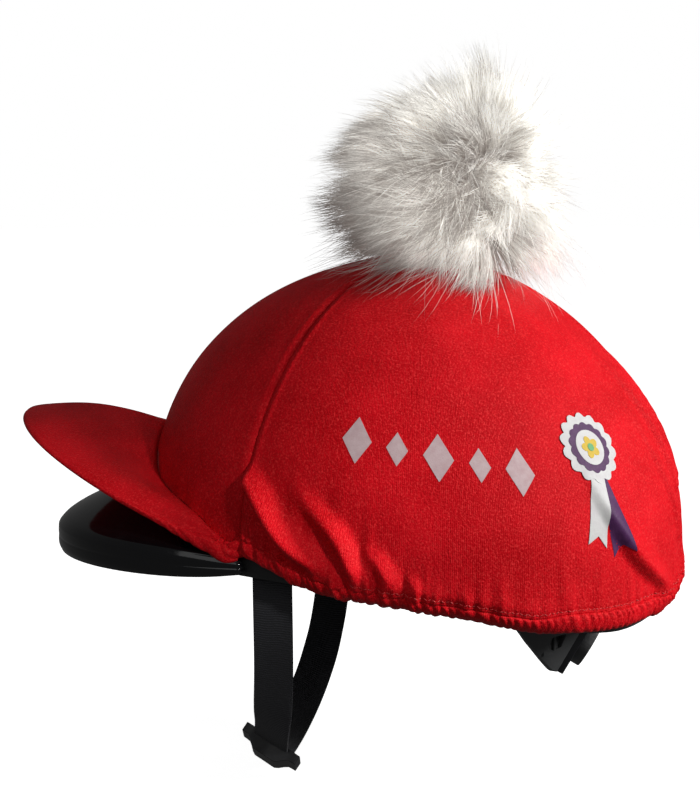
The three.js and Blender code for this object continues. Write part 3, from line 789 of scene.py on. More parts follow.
class Bench:
    """A material under construction, with short calls for the nodes it is made of."""

    def __init__(self, name: str) -> None:
        """Start an empty principled material with that name."""
        self.material = bpy.data.materials.new(name)
        self.material.use_nodes = True
        self.tree = self.material.node_tree
        self.shader = self.tree.nodes["Principled BSDF"]

    def node(self, kind: str, **settings: object) -> bpy.types.Node:
        """Add a node and set its properties."""
        made = self.tree.nodes.new(kind)
        for key, value in settings.items():
            setattr(made, key, value)
        return made

    def link(self, source: object, target: object) -> None:
        """Feed a socket, or set it when the source is a plain value."""
        if isinstance(source, Socket):
            self.tree.links.new(source, target)
        else:
            target.default_value = source

    def math(self, operation: str, a: object, b: object = 0.0) -> Socket:
        """Combine two numbers."""
        made = self.node("ShaderNodeMath", operation=operation)
        self.link(a, made.inputs[0])
        self.link(b, made.inputs[1])
        return made.outputs[0]

    def times(self, a: object, b: object) -> Socket:
        """Multiply two numbers."""
        return self.math("MULTIPLY", a, b)

    def plus(self, a: object, b: object) -> Socket:
        """Add two numbers."""
        return self.math("ADD", a, b)

    def coordinates(self, source: str, scale: tuple[float, float, float]) -> Socket:
        """Read object or uv coordinates and scale them."""
        texture = self.node("ShaderNodeTexCoord")
        mapping = self.node("ShaderNodeMapping")
        self.link(texture.outputs[source], mapping.inputs["Vector"])
        mapping.inputs["Scale"].default_value = scale
        return mapping.outputs["Vector"]

    def millimetres(self) -> Socket:
        """Read object coordinates in millimetres."""
        return self.coordinates("Object", (1 / MM, 1 / MM, 1 / MM))

    def split(self, vector: Socket) -> tuple[Socket, ...]:
        """Take a vector apart into three numbers."""
        made = self.node("ShaderNodeSeparateXYZ")
        self.link(vector, made.inputs[0])
        return tuple(made.outputs)

    def noise(
        self, vector: Socket, scale: float, detail: float = 2, rough: float = 0.5
    ) -> Socket:
        """Add a noise pattern and return its height.

        Args:
            vector: Where the pattern is read.
            scale: Scale of the pattern.
            detail: Octaves of the pattern.
            rough: Strength of the finer octaves.

        Returns:
            The pattern's height.
        """
        made = self.node("ShaderNodeTexNoise")
        self.link(vector, made.inputs["Vector"])
        made.inputs["Scale"].default_value = scale
        made.inputs["Detail"].default_value = detail
        made.inputs["Roughness"].default_value = rough
        return made.outputs["Fac"]

    def level(
        self, value: Socket, low: float, high: float, out_low: float, out_high: float
    ) -> Socket:
        """Move a number from one range to another, held at the ends.

        Args:
            value: The number.
            low: Lowest number that comes in.
            high: Highest number that comes in.
            out_low: What the lowest becomes.
            out_high: What the highest becomes.

        Returns:
            The moved number.
        """
        made = self.node("ShaderNodeMapRange")
        self.link(value, made.inputs["Value"])
        numbers = (low, high, out_low, out_high)
        for socket, number in zip(("From Min", "From Max", "To Min", "To Max"), numbers):
            made.inputs[socket].default_value = number
        return made.outputs["Result"]

    def blend(self, share: Socket, a: object, b: object) -> Socket:
        """Blend two colours."""
        made = self.node("ShaderNodeMix", data_type="RGBA", blend_type="MIX")
        self.link(share, made.inputs["Factor"])
        self.link(a, made.inputs["A"])
        self.link(b, made.inputs["B"])
        return made.outputs["Result"]

    def bump(self, height: Socket, depth: float) -> Socket:
        """Turn a height from 0 to 1 into relief of a depth in millimetres."""
        made = self.node("ShaderNodeBump")
        made.inputs["Strength"].default_value = 1.0
        made.inputs["Distance"].default_value = depth * MM
        self.link(height, made.inputs["Height"])
        return made.outputs["Normal"]

    def finish(self, **sockets: object) -> Material:
        """Set or feed the shader's sockets, named with underscores, and return the material."""
        for key, value in sockets.items():
            self.link(value, self.shader.inputs[key.replace("_", " ").title().replace("Ior", "IOR")])
        return self.material


Colour = tuple[float, float, float, float]


@dataclass(frozen=True)
class StretchCloth:
    """Shiny stretch knit: fine wales, faint mottling, brighter specks partly painted as sparkle, and a soft
    tinted sheen.
    """

    name: str = "stretch_cloth"
    colour: Colour = (0.74, 0.006, 0.014, 1)
    deep: Colour = (0.5, 0.002, 0.006, 1)
    # brighter red for specks in the grain, partly a painted sparkle
    spark: Colour = (0.95, 0.05, 0.05, 1)
    wale: float = 0.85
    course: float = 0.7
    relief: float = 0.55
    roughness: float = 0.44

    def knit(self, bench: Bench) -> Socket:
        """Height of the knit's loops, read from the piece's uv in metres."""
        u, v, _ = bench.split(bench.coordinates("UV", (1 / MM, 1 / MM, 1)))
        lean = bench.math("ABSOLUTE", bench.math("SINE", bench.times(v, math.pi / self.course)))
        across = bench.plus(bench.times(u, math.pi / self.wale), lean)
        loops = bench.math("ABSOLUTE", bench.math("SINE", across))
        return bench.times(loops, bench.plus(0.6, bench.times(lean, 0.4)))

    def build(self) -> Material:
        """Build the material.

        Returns:
            The finished material.
        """
        bench = Bench(self.name)
        place = bench.millimetres()
        loops = self.knit(bench)
        grain = bench.noise(place, 0.8, 3, 0.65)
        mottle = bench.noise(place, 0.03, 3, 0.55)
        wash = bench.level(bench.plus(bench.times(grain, 0.5), mottle), 0.55, 1.0, 0.0, 1.0)
        colour = bench.blend(wash, self.deep, self.colour)
        # brighter specks in the knit's grain, partly painted sparkle
        speckle = bench.level(bench.noise(place, 1.05, 1, 0.5), 0.5, 0.74, 0.0, 0.5)
        colour = bench.blend(speckle, colour, self.spark)
        height = bench.plus(bench.times(grain, 0.9), bench.times(loops, 0.16))
        normal = bench.bump(height, self.relief)
        rough = bench.level(grain, 0.25, 0.75, self.roughness - 0.06, self.roughness + 0.08)
        return bench.finish(
            base_color=colour,
            roughness=rough,
            normal=normal,
            specular_ior_level=0.14,
            specular_tint=(1.0, 0.3, 0.3, 1),
            sheen_weight=0.03,
            sheen_roughness=0.4,
            sheen_tint=(1.0, 0.2, 0.16, 1),
        )


@dataclass(frozen=True)
class PrintFilm:
    """Printed film on cloth: flat colour with the knit showing through and worn specks."""

    name: str
    colour: Colour
    worn: Colour

    def build(self) -> Material:
        """Build the material.

        Returns:
            The finished material.
        """
        bench = Bench(self.name)
        place = bench.millimetres()
        grain = bench.noise(place, 1.3, 2, 0.7)
        specks = bench.level(bench.noise(place, 2.6, 1, 0.5), 0.6, 0.72, 0.0, 0.55)
        patch = bench.level(bench.noise(place, 0.25, 2, 0.5), 0.35, 0.7, 0.0, 0.35)
        colour = bench.blend(bench.math("MAXIMUM", specks, patch), self.colour, self.worn)
        return bench.finish(
            base_color=colour,
            roughness=bench.level(grain, 0.3, 0.7, 0.5, 0.66),
            normal=bench.bump(grain, 0.08),
            specular_ior_level=0.25,
        )


@dataclass(frozen=True)
class StitchThread:
    """Twisted polyester thread, with painted highlights along the twist."""

    name: str = "stitch_thread"
    colour: Colour = (0.66, 0.02, 0.025, 1)
    # paler colour for the painted highlights on the twist
    light: Colour = (0.85, 0.14, 0.13, 1)

    def build(self) -> Material:
        """Build the material.

        Returns:
            The finished material.
        """
        bench = Bench(self.name)
        tint, along, _ = bench.split(bench.coordinates("UV", (1, 1, 1)))
        twist = bench.math("SINE", bench.times(bench.plus(along, tint), 24.0))
        share = bench.level(twist, -1, 1, 0.05, 0.55)
        return bench.finish(
            # the thread pales along the twist: painted highlights on the plies
            base_color=bench.blend(share, self.colour, self.light),
            roughness=bench.level(twist, -1, 1, 0.35, 0.55),
            normal=bench.bump(twist, 0.05),
        )


@dataclass(frozen=True)
class FurCoat:
    """Long acrylic fur, pale all over, with painted shade on its roots and low front and a painted glow on
    its tips.
    """

    name: str = "pale_fur"
    pale: Colour = (0.78, 0.775, 0.74, 1)
    # warm brown painted shade for the low front of the ball
    warm_shade: Colour = (0.27, 0.2, 0.175, 1)
    # darker colour towards the roots: painted shade in the depth of the coat
    root: Colour = (0.5, 0.46, 0.43, 1)
    # emission colours: the fur glows with painted light, bright on lit tips and dim elsewhere
    painted_glow: Colour = (1.24, 1.21, 1.13, 1)
    dim: Colour = (0.04, 0.032, 0.029, 1)

    def build(self) -> Material:
        """Build the material.

        Returns:
            The finished material.
        """
        bench = Bench(self.name)
        tint, along, _ = bench.split(bench.coordinates("UV", (1, 1, 1)))
        _, y, z = bench.split(bench.millimetres())
        place = bench.millimetres()
        patches = bench.noise(place, 0.045, 2, 0.5)
        # painted shade: the low front of the ball is pushed towards warm brown, broken up by patches
        front = bench.level(bench.plus(bench.times(z, 0.5), y), 70, 150, 0.42, 0.0)
        shade_amount = bench.plus(bench.times(patches, 0.5), front)
        shade_amount = bench.math("SUBTRACT", shade_amount, bench.times(tint, 0.6))
        picked = bench.level(shade_amount, 0.0, 0.25, 0.0, 0.75)
        hair = bench.blend(picked, self.pale, self.warm_shade)
        # painted glint: a glow that grows with each hair's tint towards its tip
        painted_glint = bench.math("POWER", bench.times(tint, bench.level(along, 0.1, 0.8, 0.3, 1.1)), 2.2)
        light = bench.blend(painted_glint, self.dim, self.painted_glow)
        # painted shade: the glow fades to dim low at the front of the ball
        deep = bench.level(bench.plus(bench.times(z, 1.3), y), 188, 250, 0.88, 0.06)
        # painted shade: each hair darkens towards its root
        shade = bench.level(along, 0.25, 0.8, 0.65, 0.0)
        return bench.finish(
            base_color=bench.blend(shade, hair, self.root),
            roughness=bench.level(tint, 0, 1, 0.42, 0.62),
            # the fur glows through its emission: painted light, not lamp light
            emission_color=bench.blend(deep, light, self.dim),
            emission_strength=1.0,
        )


@dataclass(frozen=True)
class FurBacking:
    """Dense short underfur on the backing of the pompom, with a faint painted glow."""

    name: str = "fur_backing"
    pale: Colour = (0.9, 0.88, 0.85, 1)
    deep: Colour = (0.6, 0.56, 0.53, 1)

    def build(self) -> Material:
        """Build the material.

        Returns:
            The finished material.
        """
        bench = Bench(self.name)
        place = bench.millimetres()
        hairs = bench.noise(place, 1.1, 4, 0.7)
        tufts = bench.noise(place, 0.12, 3, 0.6)
        share = bench.plus(bench.times(hairs, 0.6), bench.times(tufts, 0.5))
        return bench.finish(
            base_color=bench.blend(bench.level(share, 0.35, 0.75, 0, 1), self.deep, self.pale),
            roughness=0.9,
            normal=bench.bump(share, 1.2),
            # painted glow: the backing emits a little light of its own, standing in for light reaching it
            emission_color=self.deep,
            emission_strength=0.16,
        )


@dataclass(frozen=True)
class MouldedPlastic:
    """Moulded plastic with a fine grain and faint, paler worn marks."""

    name: str
    colour: Colour
    worn: Colour
    roughness: float
    grain: float = 2.2
    relief: float = 0.03
    coat: float = 0.0
    slope: tuple[float, float] = (0.6, 0.85)

    def build(self) -> Material:
        """Build the material.

        Returns:
            The finished material.
        """
        bench = Bench(self.name)
        place = bench.millimetres()
        grain = bench.noise(place, self.grain, 2, 0.5)
        marks = bench.noise(place, 0.12, 4, 0.65)
        dust = bench.level(marks, self.slope[0], self.slope[1], 0.0, 0.5)
        rough = bench.plus(bench.level(grain, 0.3, 0.7, -0.04, 0.05), self.roughness)
        rough = bench.plus(rough, bench.times(dust, 0.25))
        return bench.finish(
            base_color=bench.blend(dust, self.colour, self.worn),
            roughness=rough,
            normal=bench.bump(grain, self.relief),
            coat_weight=self.coat,
            coat_roughness=0.06,
        )


@dataclass(frozen=True)
class Webbing:
    """Woven nylon webbing: cross ribs, fine lengthwise ends and slight fuzz."""

    name: str = "webbing"
    colour: Colour = (0.011, 0.011, 0.014, 1)
    light: Colour = (0.035, 0.035, 0.042, 1)
    rib: float = 1.25
    end: float = 0.6

    def build(self) -> Material:
        """Build the material.

        Returns:
            The finished material.
        """
        bench = Bench(self.name)
        u, v, _ = bench.split(bench.coordinates("UV", (1 / MM, 1 / MM, 1)))
        skew = bench.times(bench.math("SINE", bench.times(u, 0.55)), 0.22)
        ribs = bench.math("SINE", bench.times(bench.plus(v, skew), 2 * math.pi / self.rib))
        ends = bench.math("SINE", bench.times(u, 2 * math.pi / self.end))
        weave = bench.plus(bench.times(ribs, 0.75), bench.times(ends, 0.3))
        fuzz = bench.noise(bench.millimetres(), 1.4, 3, 0.7)
        height = bench.plus(weave, bench.times(fuzz, 0.8))
        share = bench.level(height, -0.9, 1.5, 0, 1)
        return bench.finish(
            base_color=bench.blend(share, self.colour, self.light),
            roughness=bench.level(fuzz, 0.3, 0.7, 0.62, 0.85),
            normal=bench.bump(height, 0.16),
            sheen_weight=0.12,
        )


@dataclass(frozen=True)
class PaleFloor:
    """Matte studio floor with a trace of mottling."""

    name: str = "pale_floor"
    light: Colour = (0.6, 0.6, 0.6, 1)
    dark: Colour = (0.56, 0.56, 0.56, 1)
    glow: float = 0.95

    def build(self) -> Material:
        """Build the material.

        Returns:
            The finished material.
        """
        bench = Bench(self.name)
        mottle = bench.noise(bench.coordinates("Object", (1, 1, 1)), 3.0, 3, 0.6)
        return bench.finish(
            base_color=bench.blend(mottle, self.dark, self.light),
            roughness=0.9,
            emission_color=(1, 1, 1, 1),
            emission_strength=self.glow,
        )


def built(finish: object) -> Material:
    """Field that holds a finish's material, built with the cap."""
    return field(default_factory=finish.build)


@dataclass
class Finishes:
    """Every material of the cap, built once."""

    cloth: Material = built(StretchCloth())
    thread: Material = built(StitchThread())
    silver: Material = built(
        PrintFilm("silver_print", (0.6, 0.46, 0.47, 1), (0.42, 0.2, 0.22, 1))
    )
    white: Material = built(
        PrintFilm("white_print", (0.6, 0.6, 0.585, 1), (0.46, 0.4, 0.43, 1))
    )
    purple: Material = built(
        PrintFilm("purple_print", (0.06, 0.012, 0.07, 1), (0.12, 0.04, 0.14, 1))
    )
    yellow: Material = built(
        PrintFilm("yellow_print", (0.6, 0.4, 0.02, 1), (0.5, 0.4, 0.1, 1))
    )
    green: Material = built(
        PrintFilm("green_print", (0.1, 0.36, 0.14, 1), (0.2, 0.4, 0.22, 1))
    )
    fur: Material = built(FurCoat())
    backing: Material = built(FurBacking())
    gloss: Material = built(
        MouldedPlastic(
            "gloss_black", (0.004, 0.004, 0.005, 1), (0.014, 0.014, 0.015, 1), 0.11, 0.6, 0.006, 0.2
        )
    )
    inside: Material = built(
        MouldedPlastic("matte_black", (0.012, 0.012, 0.013, 1), (0.03, 0.03, 0.03, 1), 0.6, 1.2, 0.12)
    )
    webbing: Material = built(Webbing())
    buckle: Material = built(
        MouldedPlastic("buckle_black", (0.009, 0.009, 0.011, 1), (0.03, 0.03, 0.032, 1), 0.42)
    )
    grey: Material = built(
        MouldedPlastic("dark_grey", (0.045, 0.046, 0.047, 1), (0.09, 0.09, 0.09, 1), 0.5)
    )
    knurl: Material = built(
        MouldedPlastic(
            "dial_grey", (0.06, 0.06, 0.062, 1), (0.16, 0.16, 0.16, 1), 0.38, 2.2, 0.03, 0.0, (0.45, 0.7)
        )
    )


@dataclass
class SidePanel:
    """A side panel of the cover, with its folds, gathers and seams."""

    side: Side
    rows: int = 122
    columns: int = 236
    tuck: float = 1.3
    roll: float = 0.37

    def spread(self) -> tuple[np.ndarray, np.ndarray]:
        """Lay out the panel's grid.

        Returns:
            The turn and the distance along the shell of each corner.
        """
        share = np.linspace(0, 1, self.rows)[:, None] ** 1.35
        even = np.linspace(0, 1, self.columns)[None, :]
        crowded = even * (0.62 + 0.38 * even)
        across = crowded if self.side is Side.LEFT else 1 - crowded[:, ::-1]
        low = COVER.stitch_line(COVER.front_low) - self.tuck
        full = SHELL.length_at_ring(COVER.front_low, COVER.top_hole)
        seam = COVER.front_seam(low + (full - low) * share)
        if self.side is Side.LEFT:
            first, last = seam, COVER.back + 0 * seam
        else:
            first, last = COVER.back + 0 * seam, 360 - seam
        bare = first + (last - first) * across
        start = COVER.stitch_line(bare) - self.tuck
        along = start + (SHELL.length_at_ring(bare, COVER.top_hole) - start) * share
        ring = np.hypot(*np.moveaxis(SHELL.point(bare, along, 0)[..., :2], -1, 0))
        half_gap = np.degrees(FIT_GAP / 2 / ring)
        return bare + half_gap * (1 - 2 * across), along

    def seam_fall(self, turn: np.ndarray, along: np.ndarray) -> np.ndarray:
        """How far the cloth dips into the seams at both ends of the panel.

        Args:
            turn: Degrees from the front.
            along: Distance along the shell from its lower edge.

        Returns:
            The depth at each corner.
        """
        points = SHELL.point(turn, along, 0)
        dips = (COVER.seam_dip, COVER.back_dip)
        if self.side is Side.RIGHT:
            dips = dips[::-1]
        fall = 0
        for edge, dip in zip((points[:, :1], points[:, -1:]), dips):
            away = np.linalg.norm(points - edge, axis=-1)
            fall = fall + dip * COVER.seam_groove(away)
            fall = fall - self.roll * dip * COVER.seam_roll(away)
        return fall

    def build(self, finishes: Finishes) -> Piece:
        """Build the panel and dress it.

        Args:
            finishes: Every material of the cap.

        Returns:
            The finished piece.
        """
        turn, along = self.spread()
        lift = COVER.side_lift(turn, along) - self.seam_fall(turn, along)
        fade = smoothstep(along - COVER.stitch_line(turn), -self.tuck, 0.2)
        outer = COVER.place(turn, along, lift + COVER.thick * (0.3 + 0.7 * fade))
        inner = COVER.place(turn, along, np.maximum(lift, COVER.inner_dip))
        uv = np.stack([turn * SHELL.arc * MM, along * MM], -1)
        name = "left_cloth" if self.side is Side.LEFT else "right_cloth"
        node = "left_panel" if self.side is Side.LEFT else "right_panel"
        piece = cloth_piece(name, outer, inner, uv)
        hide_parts(node)
        dress(piece, finishes.cloth, Body.HELMET)
        return piece


@dataclass
class FrontPanel:
    """The front panel of the cover, smooth above the peak."""

    rows: int = 90
    columns: int = 120
    tuck: float = 1.5
    roll: float = 0.35

    def build(self, finishes: Finishes) -> Piece:
        """Build the panel and dress it.

        Args:
            finishes: Every material of the cap.

        Returns:
            The finished piece.
        """
        share = np.linspace(0, 1, self.rows)[:, None]
        across = np.linspace(0, 1, self.columns)[None, :]
        low = SHELL.length_at_height(COVER.front_low, COVER.peak_root_height(COVER.front_low) - self.tuck)
        full = SHELL.length_at_ring(COVER.front_low, COVER.top_hole)
        seam = COVER.front_seam(low + (full - low) * share)
        bare = seam * (2 * across - 1)
        start = SHELL.length_at_height(bare, COVER.peak_root_height(bare) - self.tuck)
        along = start + (SHELL.length_at_ring(bare, COVER.top_hole) - start) * share
        ring = np.hypot(*np.moveaxis(SHELL.point(bare, along, 0)[..., :2], -1, 0))
        turn = bare + np.degrees(FIT_GAP / 2 / ring) * (1 - 2 * across)
        height = SHELL.point(turn, along, 0)[..., 2]
        above = along - start
        pull = 0.5 * np.exp(-above / 9) * np.sin(turn / 3.1 + np.sin(turn / 7)) ** 2
        lift = COVER.ripple(turn, height) + pull
        points = SHELL.point(turn, along, 0)
        for edge in (points[:, :1], points[:, -1:]):
            away = np.linalg.norm(points - edge, axis=-1)
            lift = lift - COVER.seam_dip * COVER.seam_groove(away)
            lift = lift + self.roll * COVER.seam_roll(away)
        outer = COVER.place(turn, along, lift + COVER.thick)
        inner = COVER.place(turn, along, np.maximum(lift, COVER.inner_dip))
        uv = np.stack([(turn + 180) * SHELL.arc * MM, along * MM], -1)
        piece = cloth_piece("front_cloth", outer, inner, uv)
        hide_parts("front_panel")
        dress(piece, finishes.cloth, Body.HELMET)
        return piece


@dataclass
class ElasticHem:
    """The gathered elastic casing along the lower edge, with slanting ribs."""

    columns: int = 980
    ring: int = 22
    slant: float = 0.62
    bulge: float = 0.5

    def build(self, finishes: Finishes) -> Piece:
        """Build the hem and dress it.

        Args:
            finishes: Every material of the cap.

        Returns:
            The finished piece.
        """
        start = COVER.front_seam(COVER.hem_rise) + np.degrees(FIT_GAP / SHELL.half_width)
        bare = np.linspace(start, 360 - start, self.columns)[:, None]
        angle = np.linspace(0, 2 * math.pi, self.ring, endpoint=False)[None, :]
        up = np.sign(np.cos(angle)) * np.abs(np.cos(angle)) ** 0.6
        out = np.sign(np.sin(angle)) * np.abs(np.sin(angle)) ** 0.7
        share = 0.5 + 0.5 * up
        lean = COVER.front_seam(COVER.hem_rise + COVER.hem_height * share) - COVER.front_seam(COVER.hem_rise)
        turn = bare + lean * np.cos(np.radians((bare - start) / (360 - 2 * start) * 180))
        along = COVER.hem_start(turn) + COVER.hem_height * share
        above = along - COVER.stitch_line(turn)
        height = COVER.place(turn, along, 0)[..., 2]
        folds = COVER.fold_lift(turn, height)
        small = WIDE_GATHERS.lift(turn, above) * 0.75 + FINE_GATHERS.lift(turn, above, self.slant) * 1.6
        drawn = (folds * 0.55 + np.maximum(0, small - 0.22 * folds)) * (0.5 + 0.5 * share)
        face = np.maximum(out, 0)
        half = COVER.hem_thick / 2
        plump = face * self.bulge * np.sin(math.pi * share)
        offset = half + half * out + plump + drawn * (0.35 + 0.65 * face)
        uv = np.stack([turn * SHELL.arc * MM + 0 * along, (along + 9 * (out < 0)) * MM], -1)
        piece = swept_piece("hem_casing", COVER.place(turn, along, offset), uv)
        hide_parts("elastic_hem")
        dress(piece, finishes.cloth, Body.HELMET)
        return piece


@dataclass
class HemStitches:
    """The zigzag row of thread that holds the elastic, just over the casing."""

    pitch: float = 1.9
    half_width: float = 0.45
    above: float = 1.2
    radius: float = 0.17
    front_turn: float = 84.0

    def build(self, finishes: Finishes) -> Piece:
        """Build the stitches and dress them.

        Args:
            finishes: Every material of the cap.

        Returns:
            The finished piece.
        """
        start = self.front_turn
        count = int((360 - 2 * start) * SHELL.arc / self.pitch)
        turns = np.linspace(start, 360 - start, count + 1)
        zig = np.where(np.arange(count + 1) % 2 == 0, 1.0, -1.0)
        share = np.linspace(0.04, 0.96, 6)[None, :]
        turn = turns[:-1, None] + (turns[1:, None] - turns[:-1, None]) * share
        sway = (zig[:-1, None] + (zig[1:, None] - zig[:-1, None]) * share) * self.half_width
        along = COVER.stitch_line(turn) + self.above + sway
        bow = 0.42 * np.sin(math.pi * share) - 0.22
        paths = COVER.side_face(turn, along, 0) + 0 * share[..., None]
        out = unit(COVER.side_face(turn, along, 1.0) - paths)
        paths = paths + out * bow[..., None]
        radii = np.full((count, 4), self.radius)
        tint = np.random.default_rng(3).random(count)
        piece = tubes("hem_stitches", paths, radii, 6, tint)
        dress(piece, finishes.thread, Body.HELMET)
        return piece


@dataclass
class ClothPeak:
    """The soft peak of the cover, with a turned edge and a few creases at its root."""

    half_width: float = 97.0
    tip: float = 210.0
    heel: float = 76.0
    tip_height: float = 73.0
    thick: float = 3.0
    crown: float = 5.0
    columns: int = 221
    ways: int = 34
    end_share: float = 0.96
    edge_slim: float = 0.68
    creases: tuple[tuple[float, float, float, float], ...] = (
        (0.045, 0.012, 1.0, 7),
        (0.085, 0.014, 0.8, 9),
        (-0.02, 0.013, 0.8, 6),
        (-0.07, 0.016, 0.7, 9),
    )

    def edge(self, share: np.ndarray, down: float) -> np.ndarray:
        """Points of the outer edge, lower by a share of down.

        Args:
            share: Place round the front, from -1 to 1.
            down: How far under the top face, in millimetres.

        Returns:
            One row of x, y and z for each point.
        """
        bend = share * math.pi / 2
        ahead = np.cos(bend)
        sag = (1 - ahead) ** 0.95
        height = self.tip_height - (self.tip_height - COVER.peak_end) * sag - 0.6 * down
        forward = self.heel + (self.tip - self.heel) * ahead
        return np.stack([self.half_width * np.sin(bend), -forward, height], -1)

    def face(self, share: np.ndarray, way: np.ndarray, down: float) -> np.ndarray:
        """Points of the top face, or of the underside when down is the thickness.

        Args:
            share: Place round the front, from -1 to 1.
            way: Share of the way from the root to the edge.
            down: How far under the top face, in millimetres.

        Returns:
            One row of x, y and z for each point.
        """
        turn = share * COVER.peak_turn
        along = SHELL.length_at_height(turn, COVER.peak_root_height(turn) - down)
        root = SHELL.point(turn, along, COVER.gap + COVER.thick + FIT_GAP)
        points = root + (self.edge(share, down) - root) * way[..., None]
        points[..., 2] += self.crown * np.sin(way * math.pi)
        return points

    def relief(self, share: np.ndarray, way: np.ndarray, reach: np.ndarray) -> np.ndarray:
        """Creases at the root, shirring at the ends and the stitched line by the edge.

        Args:
            share: Place round the front, from -1 to 1.
            way: Share of the way from the root to the edge.
            reach: Length of that way in millimetres.

        Returns:
            The relief at each point in millimetres.
        """
        inside = way * reach
        outside = (1 - way) * reach
        root = 0.0
        for at, half, high, long in self.creases:
            root = root + high * np.exp(-(((share - at) / half) ** 2)) * np.exp(-((inside / long) ** 2))
        ends = smoothstep(np.abs(share), 0.72, 0.86)
        shirr = 0.35 * np.sin(share * 330 + way * 5) * ends * np.exp(-inside / 9)
        line = -0.35 * np.exp(-(((outside - 3.4) / 0.8) ** 2))
        waves = 0.22 * np.sin(share * 9 + 2) * np.sin(way * 4 + share * 5)
        return (root + shirr + line + waves) * smoothstep(outside, 0, 1.2)

    def build(self, finishes: Finishes) -> Piece:
        """Build the peak and dress it.

        Args:
            finishes: Every material of the cap.

        Returns:
            The finished piece.
        """
        swing = math.pi / 2 * self.end_share
        share = (np.sin(np.linspace(-1, 1, self.columns) * swing) / math.sin(swing))[:, None]
        way = np.linspace(0, 1, self.ways)[None, :] ** 0.9
        share, way = np.broadcast_arrays(share, way)
        top = self.face(share, way, 0)
        under = self.face(share, way, self.thick)
        reach = np.linalg.norm(top[:, -1:] - top[:, :1], axis=-1)
        top[..., 2] += self.relief(share, way, reach)
        slim = smoothstep((1 - way) * reach, -0.2, 1.6)[..., None]
        slim = self.edge_slim + (1 - self.edge_slim) * slim
        middle = (top + under) / 2
        top, under = middle + (top - middle) * slim, middle + (under - middle) * slim
        lip = middle[:, -1:] + unit(middle[:, -1:] - middle[:, -2:-1]) * 0.8
        back = under[:, ::-1][:, ::2]
        sections = np.concatenate([top, lip, back], axis=1)
        turned = 1.04 + (1 - way[:, ::-1][:, ::2])
        along = np.concatenate([way, np.ones_like(way[:, :1]) * 1.02, turned], axis=1)
        around = np.broadcast_to(share[:, :1], along.shape)
        uv = np.stack([(around + 1) * 0.15, along * 0.1], -1)
        piece = swept_piece("peak_cloth", sections, uv)
        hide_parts("cloth_peak")
        dress(piece, finishes.cloth, Body.HELMET)
        return piece


@dataclass
class PeakGathers:
    """The hem's elastic running on round both ends of the cloth peak, drawn into slanting puckers."""

    peak: ClothPeak
    start: float = 0.72
    high: float = 4.6
    deep: float = 2.8
    pitch: float = 9.5
    pucker: float = 0.3
    slant: float = 2.2
    rings: int = 150
    sides: int = 28

    def line(self, side: Side) -> np.ndarray:
        """Centreline from the peak's edge into the end of the hem.

        Args:
            side: Which side.

        Returns:
            The points of the line.
        """
        shares = np.array([self.start, 0.8, 0.87, 0.94, 0.99])
        edge = self.peak.edge(shares, 0.5)
        turn = np.array([COVER.front_low + 1.6, COVER.front_low + 4.2])
        hem = COVER.place(turn, COVER.hem_start(turn) + COVER.hem_height * 0.5, COVER.hem_thick * 0.6)
        points = np.concatenate([edge, hem])
        points[:, 0] *= side.value
        return smooth_path(points, self.rings)

    def end(self, side: Side) -> Piece:
        """Build the gathered end on one side.

        Args:
            side: Which side.

        Returns:
            The closed piece.
        """
        centre = self.line(side)
        share = np.linspace(0, 1, self.rings)
        length = run_length(centre)
        run = unit(np.gradient(centre, axis=0))
        out = unit(np.cross(run, np.array([0.0, 0.0, 1.0])))
        up = unit(np.cross(out, run))
        angle = np.linspace(0, 2 * math.pi, self.sides, endpoint=False)[None, :]
        swell = smoothstep(share, -0.05, 0.75)[:, None] * (1 - 0.55 * smoothstep(share, 0.86, 1.0)[:, None])
        place = length[:, None] + self.slant * 2.4 * np.sin(angle)
        wave = place / self.pitch + 0.3 * np.sin(place / 5.1)
        ribs = 1 - self.pucker * (1 - np.abs(np.sin(math.pi * wave))) ** 1.6
        ribs = ribs - 0.04 * np.abs(np.sin(2.7 * math.pi * wave + 1))
        wide = (0.3 + self.deep * swell) * ribs
        tall = (0.4 + self.high * swell) * (0.4 + 0.6 * ribs)
        sections = centre[:, None] + out[:, None] * (wide * np.cos(angle))[..., None]
        sections = sections + up[:, None] * (tall * np.sin(angle))[..., None]
        uv = np.stack([length[:, None] * MM + 0 * angle, angle * self.high * MM + 0 * length[:, None]], -1)
        return swept_piece(f"gathers_{side.name.lower()}", sections, uv)

    def build(self, finishes: Finishes) -> Piece:
        """Build both ends as one piece and dress it."""
        piece = join([self.end(Side.LEFT), self.end(Side.RIGHT)])
        piece.name = "peak_gathers"
        dress(piece, finishes.cloth, Body.HELMET)
        return piece


